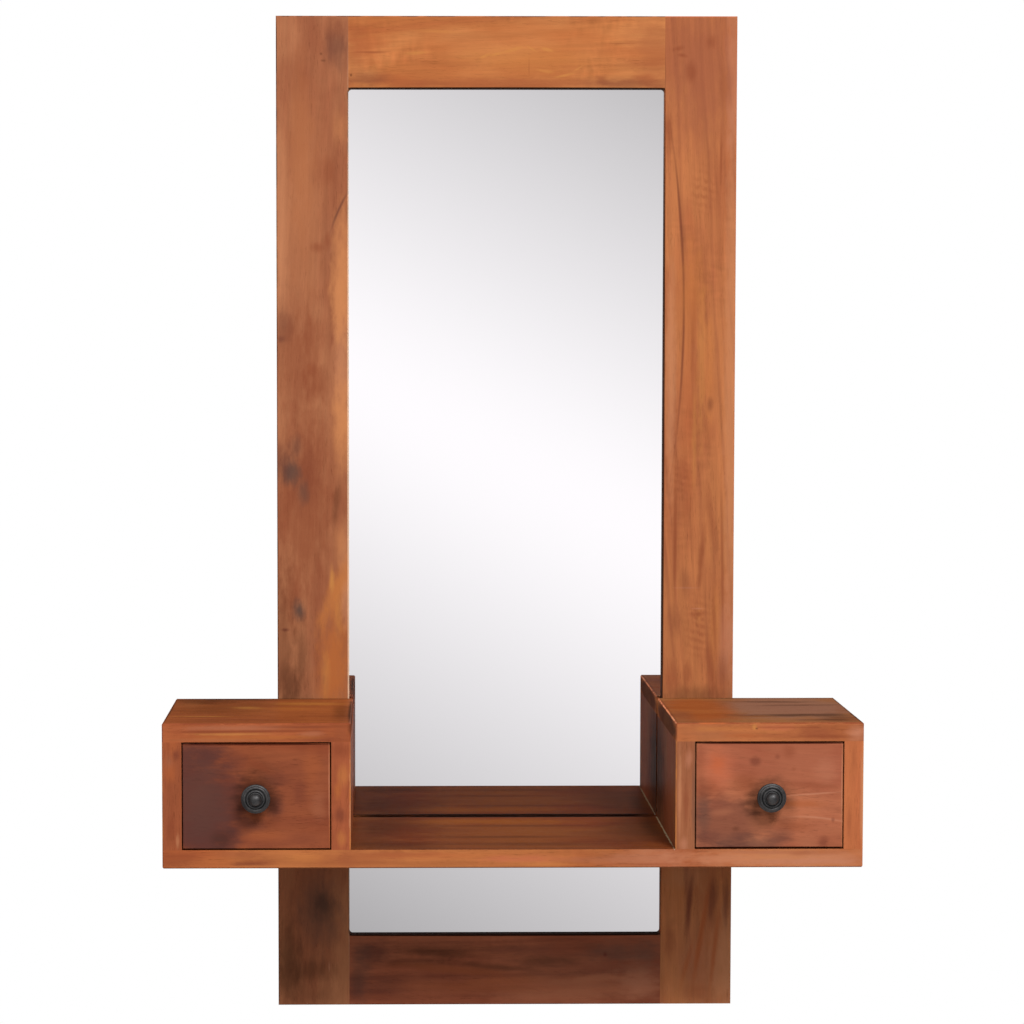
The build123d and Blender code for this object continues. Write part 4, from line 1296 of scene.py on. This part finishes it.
def head_places(node, reach):
    """The middle of each screw head of a CAD node, from the vertices on its rearmost plane."""
    rear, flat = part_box(node)[1].y, 0.05 * MM
    corners = [v.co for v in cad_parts[node].data.vertices if abs(v.co.y - rear) < flat]
    heads = []
    for corner in corners:
        near = [head for head in heads if (head[0] - corner).length < 2 * reach]
        if near:
            near[0].append(corner)
        else:
            heads.append([corner])
    lows = [Vector([min(c[i] for c in head) for i in range(3)]) for head in heads]
    highs = [Vector([max(c[i] for c in head) for i in range(3)]) for head in heads]
    return [(low + high) / 2 for low, high in zip(lows, highs)]


@dataclass
class Screw:
    """The body that a screw rides on, and in millimetres the radii of its head's face and seat,
    the head's height and the shank's radius."""

    body: str
    face: float
    seat: float
    height: float
    shank: float


SCREWS = {
    "backing_screws": Screw("frame", face=2.0, seat=2.5, height=1.5, shank=1.25),
    "hanger_screws": Screw("frame", face=3.4, seat=1.75, height=1.65, shank=1.75),
    "unit_screws": Screw("frame", face=3.2, seat=4.0, height=2.5, shank=2.0),
    "left_knob_screw": Screw("left_drawer", face=2.8, seat=3.6, height=2.4, shank=2.0),
    "right_knob_screw": Screw("right_drawer", face=2.8, seat=3.6, height=2.4, shank=2.0),
}


def shifted(graph, geometry, height):
    """The geometry, moved along Z."""
    move = graph.join(0.0, 0.0, height)
    return graph.add("GeometryNodeTransform", {"Geometry": geometry, "Translation": move})


def screw_head(graph, given):
    """A frustum whose face is at Z = 0, with a cross cut into it."""
    facets = 40
    cutter_height = 1.1  # of the head's height, half of it above the face
    head = graph.add("GeometryNodeMeshCone", {
        "Vertices": facets, "Radius Top": given["Face Radius"],
        "Radius Bottom": given["Seat Radius"], "Depth": given["Head Height"],
    })
    head = shifted(graph, head, graph.times(given["Head Height"], -1.0))
    cross, slot = (
        graph.times(given["Face Radius"], graph.times(given[share], 2.0))
        for share in ("Cross Share", "Slot Share")
    )
    depth = graph.times(given["Head Height"], cutter_height)
    bars = [
        graph.add("GeometryNodeMeshCube", {"Size": graph.join(*size, depth)})
        for size in ((cross, slot), (slot, cross))
    ]
    cutter = graph.tree.nodes.new("GeometryNodeMeshBoolean")
    cutter.operation = "DIFFERENCE"
    graph.feed(cutter.inputs["Mesh 1"], head)
    for bar in bars:
        graph.feed(cutter.inputs["Mesh 2"], bar)
    return cutter.outputs["Mesh"]


def screw_shank(graph, given):
    """The parts of a shank below a head: its body, its tip, and a thread round the body."""
    facets = 16
    core_share, thread_share, tip_share = 0.72, 0.26, 2.0  # of the shank's radius
    shank_length = graph.minus(given["Length"], given["Head Height"])
    tip_length = graph.times(given["Shank Radius"], tip_share)
    core = graph.times(given["Shank Radius"], core_share)
    body_length = graph.minus(shank_length, tip_length)
    body_foot = graph.minus(tip_length, given["Length"])
    body = graph.add("GeometryNodeMeshCone", {
        "Vertices": facets, "Radius Top": core, "Radius Bottom": core, "Depth": body_length,
    })
    tip = graph.add("GeometryNodeMeshCone", {
        "Vertices": facets, "Radius Top": core, "Radius Bottom": 0.0, "Depth": tip_length,
    })
    tip = shifted(graph, tip, graph.times(given["Length"], -1.0))
    helix = graph.add("GeometryNodeCurveSpiral", {
        "Resolution": facets, "Rotations": graph.math("DIVIDE", body_length, given["Pitch"]),
        "Start Radius": core, "End Radius": core, "Height": body_length,
    })
    ridge = graph.add("GeometryNodeCurvePrimitiveCircle", {
        "Resolution": 3, "Radius": graph.times(given["Shank Radius"], thread_share),
    }, "Curve")
    thread = graph.add("GeometryNodeCurveToMesh", {
        "Curve": helix, "Profile Curve": ridge, "Fill Caps": True,
    })
    return shifted(graph, body, body_foot), tip, shifted(graph, thread, body_foot)


def screw_tree():
    """Geometry nodes that stand a cross-slotted screw at each point, facing +Y."""
    tree = bpy.data.node_groups.new("screws", "GeometryNodeTree")
    sockets = ("Face Radius", "Seat Radius", "Head Height", "Shank Radius", "Length", "Pitch",
               "Cross Share", "Slot Share")
    kinds = {"Geometry": "Geometry", **dict.fromkeys(sockets, "Float"), "Seed": "Int",
             "Material": "Material"}
    for label, kind in kinds.items():
        tree.interface.new_socket(label, in_out="INPUT", socket_type=f"NodeSocket{kind}")
    tree.interface.new_socket("Geometry", in_out="OUTPUT", socket_type="NodeSocketGeometry")
    graph = Graph(tree)
    given = tree.nodes.new("NodeGroupInput").outputs

    parts = (screw_head(graph, given), *screw_shank(graph, given))
    screw = tree.nodes.new("GeometryNodeJoinGeometry")
    for part in parts:
        graph.feed(screw.inputs[0], part)
    upright = graph.add("GeometryNodeTransform", {
        "Geometry": screw.outputs[0], "Rotation": (-math.pi / 2, 0.0, 0.0),
    })

    # each screw stops at an angle of its own
    turn = tree.nodes.new("FunctionNodeRandomValue")
    turn.data_type = "FLOAT"
    least, most = (s for s in turn.inputs if s.type == "VALUE" and s.name in ("Min", "Max"))
    least.default_value, most.default_value = 0.0, math.pi / 2
    graph.feed(turn.inputs["Seed"], given["Seed"])
    angle = next(s for s in turn.outputs if s.type == "VALUE")
    placed = graph.add("GeometryNodeInstanceOnPoints", {
        "Points": given["Geometry"], "Instance": upright, "Rotation": graph.join(0.0, angle, 0.0),
    })
    real = graph.add("GeometryNodeRealizeInstances", {"Geometry": placed})
    painted = graph.add("GeometryNodeSetMaterial", {
        "Geometry": real, "Material": given["Material"],
    })
    result = tree.nodes.new("NodeGroupOutput")
    graph.feed(result.inputs["Geometry"], painted)
    return tree


def make_screws(node, points, sizes, material):
    """Screws at the points, as one plain mesh."""
    settings = bpy.context.scene.mirror_screws
    tree = bpy.data.node_groups["screws"]
    holder = point_cloud("screw_points", points)
    modifier = holder.modifiers.new("screws", "NODES")
    modifier.node_group = tree
    values = dict(sizes)
    values.update({
        "Pitch": settings.pitch, "Cross Share": settings.slot_share,
        "Slot Share": settings.slot_width, "Seed": settings.seed, "Material": material,
    })
    identifiers = {s.name: s.identifier for s in tree.interface.items_tree if s.in_out == "INPUT"}
    for label, value in values.items():
        modifier[identifiers[label]] = value
    depsgraph = bpy.context.evaluated_depsgraph_get()
    mesh = bpy.data.meshes.new_from_object(holder.evaluated_get(depsgraph))
    bpy.data.objects.remove(holder)
    if not mesh.polygons:
        raise RuntimeError(f"no screws were made for {node}")
    mesh.shade_smooth()
    mesh.set_sharp_from_angle(angle=math.radians(35))
    return new_piece(f"{node}_turned", mesh, material)


# ------------------------------------------------------------------ operators
def paint(node, material):
    """Gives a CAD node its finish."""
    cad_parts[node].material_slots[0].material = material


def paint_boards(nodes):
    """Makes and applies the wood of each board."""
    if "solid_wood" not in bpy.data.node_groups:
        solid_wood_group()
        mark_group("board_mark", rippled=False)
        mark_group("rippled_mark", rippled=True)
    for node in nodes:
        paint(node, wood_material(node, BOARDS[node]))


class MIRROR_OT_frame_boards(Operator):
    """Finish the two stiles and the two rails"""

    bl_idname = "mirror.frame_boards"
    bl_label = "Frame Boards"

    def execute(self, context):
        paint_boards(FRAME_BOARDS)
        return {"FINISHED"}


class MIRROR_OT_unit_boards(Operator):
    """Finish the shelf and the boards of both drawer boxes"""

    bl_idname = "mirror.unit_boards"
    bl_label = "Shelf and Box Boards"

    def execute(self, context):
        paint_boards(UNIT_BOARDS)
        dowel = Board("ZXY", STRAW, HONEY, AMBER, seed=71.0, figure=0.3)
        paint("box_dowels", wood_material("box_dowels", dowel))
        return {"FINISHED"}


class MIRROR_OT_drawer_boards(Operator):
    """Finish the fronts, sides and backs of the drawers"""

    bl_idname = "mirror.drawer_boards"
    bl_label = "Drawer Boards"

    def execute(self, context):
        paint_boards(DRAWER_BOARDS)
        return {"FINISHED"}


class MIRROR_OT_glass_and_panels(Operator):
    """Finish the silvered glass and the thin panels"""

    bl_idname = "mirror.glass_and_panels"
    bl_label = "Glass and Panels"

    def execute(self, context):
        paint("mirror_glass", mirror_material())
        for node, axes in PANELS.items():
            paint(node, plywood_material(node, axes))
        return {"FINISHED"}


class MIRROR_OT_knobs(Operator):
    """Turn the two iron knobs"""

    bl_idname = "mirror.knobs"
    bl_label = "Iron Knobs"

    def execute(self, context):
        settings = context.scene.mirror_knob
        iron = iron_material()
        for hand in HANDS:
            low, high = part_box(f"{hand}_knob")
            centre = Vector(((low.x + high.x) / 2, high.y, (low.z + high.z) / 2))
            profile = knob_profile((high.x - low.x) / 2, high.y - low.y, settings)
            mesh = lathe(profile, centre, settings.segments)
            piece = new_piece(f"{hand}_knob_turned", mesh, iron)
            finish_piece(piece, f"{hand}_drawer", f"{hand}_knob")
        return {"FINISHED"}


class MIRROR_OT_screws(Operator):
    """Make the screws of the backing, the plates, the shelf, the boxes and the knobs"""

    bl_idname = "mirror.screws"
    bl_label = "Screws"

    def execute(self, context):
        screw_tree()
        steel = zinc_material("screw_steel", srgb(206, 200, 178), srgb(176, 172, 160), 1.5 * MM)
        for node, screw in SCREWS.items():
            low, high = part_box(node)
            sizes = {
                "Face Radius": screw.face * MM, "Seat Radius": screw.seat * MM,
                "Head Height": screw.height * MM, "Shank Radius": screw.shank * MM,
                "Length": high.y - low.y,
            }
            places = head_places(node, max(screw.face, screw.seat) * MM)
            piece = make_screws(node, places, sizes, steel)
            finish_piece(piece, screw.body, node)
        return {"FINISHED"}


class MIRROR_OT_plates_and_pins(Operator):
    """Finish the keyhole hanging plates and the panel pins"""

    bl_idname = "mirror.plates_and_pins"
    bl_label = "Hanging Plates and Pins"

    def execute(self, context):
        plate = zinc_material("plate_zinc", srgb(196, 198, 198), srgb(160, 164, 166), 5 * MM)
        pin = zinc_material("pin_steel", srgb(150, 148, 144), srgb(118, 116, 112), 1 * MM)
        for hand in HANDS:
            paint(f"{hand}_hanger_plate", plate)
            paint(f"{hand}_box_back_pins", pin)
            paint(f"{hand}_drawer_pins", pin)
        return {"FINISHED"}


class MIRROR_OT_stage(Operator):
    """Set up the camera, the soft lamps, the white surroundings and the floor"""

    bl_idname = "mirror.stage"
    bl_label = "Stage"

    def execute(self, context):
        scene = context.scene
        scene.view_settings.view_transform = "Standard"
        add_camera(scene.mirror_camera)
        add_lamps(scene.mirror_stage)
        add_world(scene.mirror_stage)
        add_floor(scene.mirror_stage)
        return {"FINISHED"}


def add_camera(settings):
    """The camera, level but for its pitch."""
    data = bpy.data.cameras.new("camera")
    data.sensor_width = 36
    data.lens = settings.lens
    data.shift_x, data.shift_y = settings.shift
    camera = bpy.data.objects.new("camera", data)
    camera.location = settings.place
    camera.rotation_euler = (math.pi / 2 + settings.pitch, 0, -settings.yaw)
    bpy.context.scene.collection.objects.link(camera)
    bpy.context.scene.camera = camera


def add_lamp(name, bearing, height, distance, size, power):
    """A rectangular soft lamp that points at the middle of the mirror. It stands at a bearing to
    the right of straight ahead and at a height above level, both in degrees."""
    data = bpy.data.lights.new(name, "AREA")
    data.shape = "RECTANGLE"
    data.size, data.size_y = size
    data.energy = power
    lamp = bpy.data.objects.new(name, data)
    side, rise = math.radians(bearing), math.radians(height)
    level = math.cos(rise)
    away = Vector((math.sin(side) * level, -math.cos(side) * level, math.sin(rise)))
    lamp.location = (cad_box[0] + cad_box[1]) / 2 + away * distance
    lamp.rotation_euler = away.to_track_quat("Z", "Y").to_euler()
    bpy.context.scene.collection.objects.link(lamp)


def add_lamps(settings):
    """A large lamp above and to the right, and a weaker one above and to the left."""
    add_lamp("key_lamp", bearing=27, height=47, distance=3.2, size=(1.3, 0.8),
             power=settings.key_power)
    add_lamp("second_lamp", bearing=-36, height=42, distance=3.0, size=(0.8, 0.8),
             power=settings.second_power)


def add_world(settings):
    """White to the eye, a plain fill on the object, and in reflections a bright band before the
    mirror that falls off to each side, with a dim room behind it."""
    world = bpy.data.worlds.new("studio")
    bpy.context.scene.world = world
    world.use_nodes = True
    world.node_tree.nodes.clear()
    graph = Graph(world.node_tree)
    path = graph.tree.nodes.new("ShaderNodeLightPath").outputs

    side, ahead, up = graph.split(graph.add("ShaderNodeTexCoord", {}, "Generated"))
    band_slope = 0.509
    band_height = 0.0294
    band_peak, band_fall, band_round = 1.177, 3.0, 0.0015
    beside_band = 0.45
    dim_room = 0.25
    fill_from_below = 0.5
    band = graph.times_plus(side, band_slope, graph.plus(up, band_height))
    off_band = graph.math("SQRT", graph.times_plus(band, band, band_round))
    bright = graph.minus(band_peak, graph.times(off_band, band_fall))
    bright = graph.math("MAXIMUM", bright, beside_band)
    bright = graph.times(bright, graph.spread(ahead, -0.3, 0.3, 1.0, dim_room))
    around = graph.times(graph.spread(up, -0.7, 0.3, fill_from_below, 1.0), settings.fill)

    seen, mirrored, fill = (
        graph.add("ShaderNodeBackground", {"Color": CLEAR, "Strength": strength})
        for strength in (1.0, bright, around)
    )
    glossy = graph.math("MAXIMUM", path["Is Glossy Ray"], path["Is Transmission Ray"])
    lit = graph.add("ShaderNodeMixShader", {0: glossy, 1: fill, 2: mirrored})
    whole = graph.add("ShaderNodeMixShader", {0: path["Is Camera Ray"], 1: lit, 2: seen})
    output = graph.tree.nodes.new("ShaderNodeOutputWorld")
    graph.tree.links.new(whole, output.inputs["Surface"])


def add_floor(settings):
    """A pale round floor that fades out before its rim."""
    centre = Vector((0.0, 0.0, cad_box[0].z - settings.floor_drop))
    bm = bmesh.new()
    bmesh.ops.create_circle(bm, cap_ends=True, segments=96, radius=settings.floor_radius)
    bmesh.ops.translate(bm, verts=bm.verts, vec=centre)
    mesh = bpy.data.meshes.new("floor")
    bm.to_mesh(mesh)
    bm.free()
    material, graph, surface = new_material("floor_paint")
    here = object_place(graph)
    grain = graph.noise(here, 30.0, 3.0)
    graph.feed(surface["Base Color"], graph.mix(grain, srgb(238, 237, 235), srgb(244, 243, 241)))
    surface["Roughness"].default_value = 0.9
    surface["Specular IOR Level"].default_value = 0.1
    flat = graph.vector("MULTIPLY", here, (1.0, 1.0, 0.0))
    fade_start = 0.45 * settings.floor_radius
    fade = graph.spread(graph.length(flat), fade_start, settings.floor_radius)
    clear = graph.add("ShaderNodeBsdfTransparent", {})
    shader = graph.tree.nodes["Principled BSDF"].outputs[0]
    faded = graph.add("ShaderNodeMixShader", {0: fade, 1: shader, 2: clear})
    output = graph.tree.nodes["Material Output"]
    graph.tree.links.new(faded, output.inputs["Surface"])
    floor = new_piece("floor", mesh, material)


# ------------------------------------------------------------------ panel and registration
STEPS = (
    MIRROR_OT_stage,
    MIRROR_OT_frame_boards,
    MIRROR_OT_unit_boards,
    MIRROR_OT_drawer_boards,
    MIRROR_OT_glass_and_panels,
    MIRROR_OT_knobs,
    MIRROR_OT_screws,
    MIRROR_OT_plates_and_pins,
)

SETTINGS = {
    "mirror_wood": MIRROR_PG_wood,
    "mirror_glass": MIRROR_PG_glass,
    "mirror_knob": MIRROR_PG_knob,
    "mirror_screws": MIRROR_PG_screws,
    "mirror_stage": MIRROR_PG_stage,
    "mirror_camera": MIRROR_PG_camera,
}


class MIRROR_PT_steps(Panel):
    """Lists the steps and their settings"""

    bl_idname = "MIRROR_PT_steps"
    bl_label = "Wall Mirror"
    bl_space_type = "VIEW_3D"
    bl_region_type = "UI"
    bl_category = "Wall Mirror"

    def draw(self, context):
        for step in STEPS:
            self.layout.operator(step.bl_idname)
        for name, group in SETTINGS.items():
            settings = getattr(context.scene, name)
            box = self.layout.box()
            for label in group.__annotations__:
                box.prop(settings, label)


CLASSES = (*SETTINGS.values(), *STEPS, MIRROR_PT_steps)


def register():
    for item in CLASSES:
        bpy.utils.register_class(item)
    for name, group in SETTINGS.items():
        setattr(bpy.types.Scene, name, PointerProperty(type=group))


def unregister():
    for name in SETTINGS:
        delattr(bpy.types.Scene, name)
    for item in reversed(CLASSES):
        bpy.utils.unregister_class(item)


def main():
    register()
    for step in STEPS:
        group, name = step.bl_idname.split(".")
        getattr(getattr(bpy.ops, group), name)()


if __name__ == "__main__":
    main()
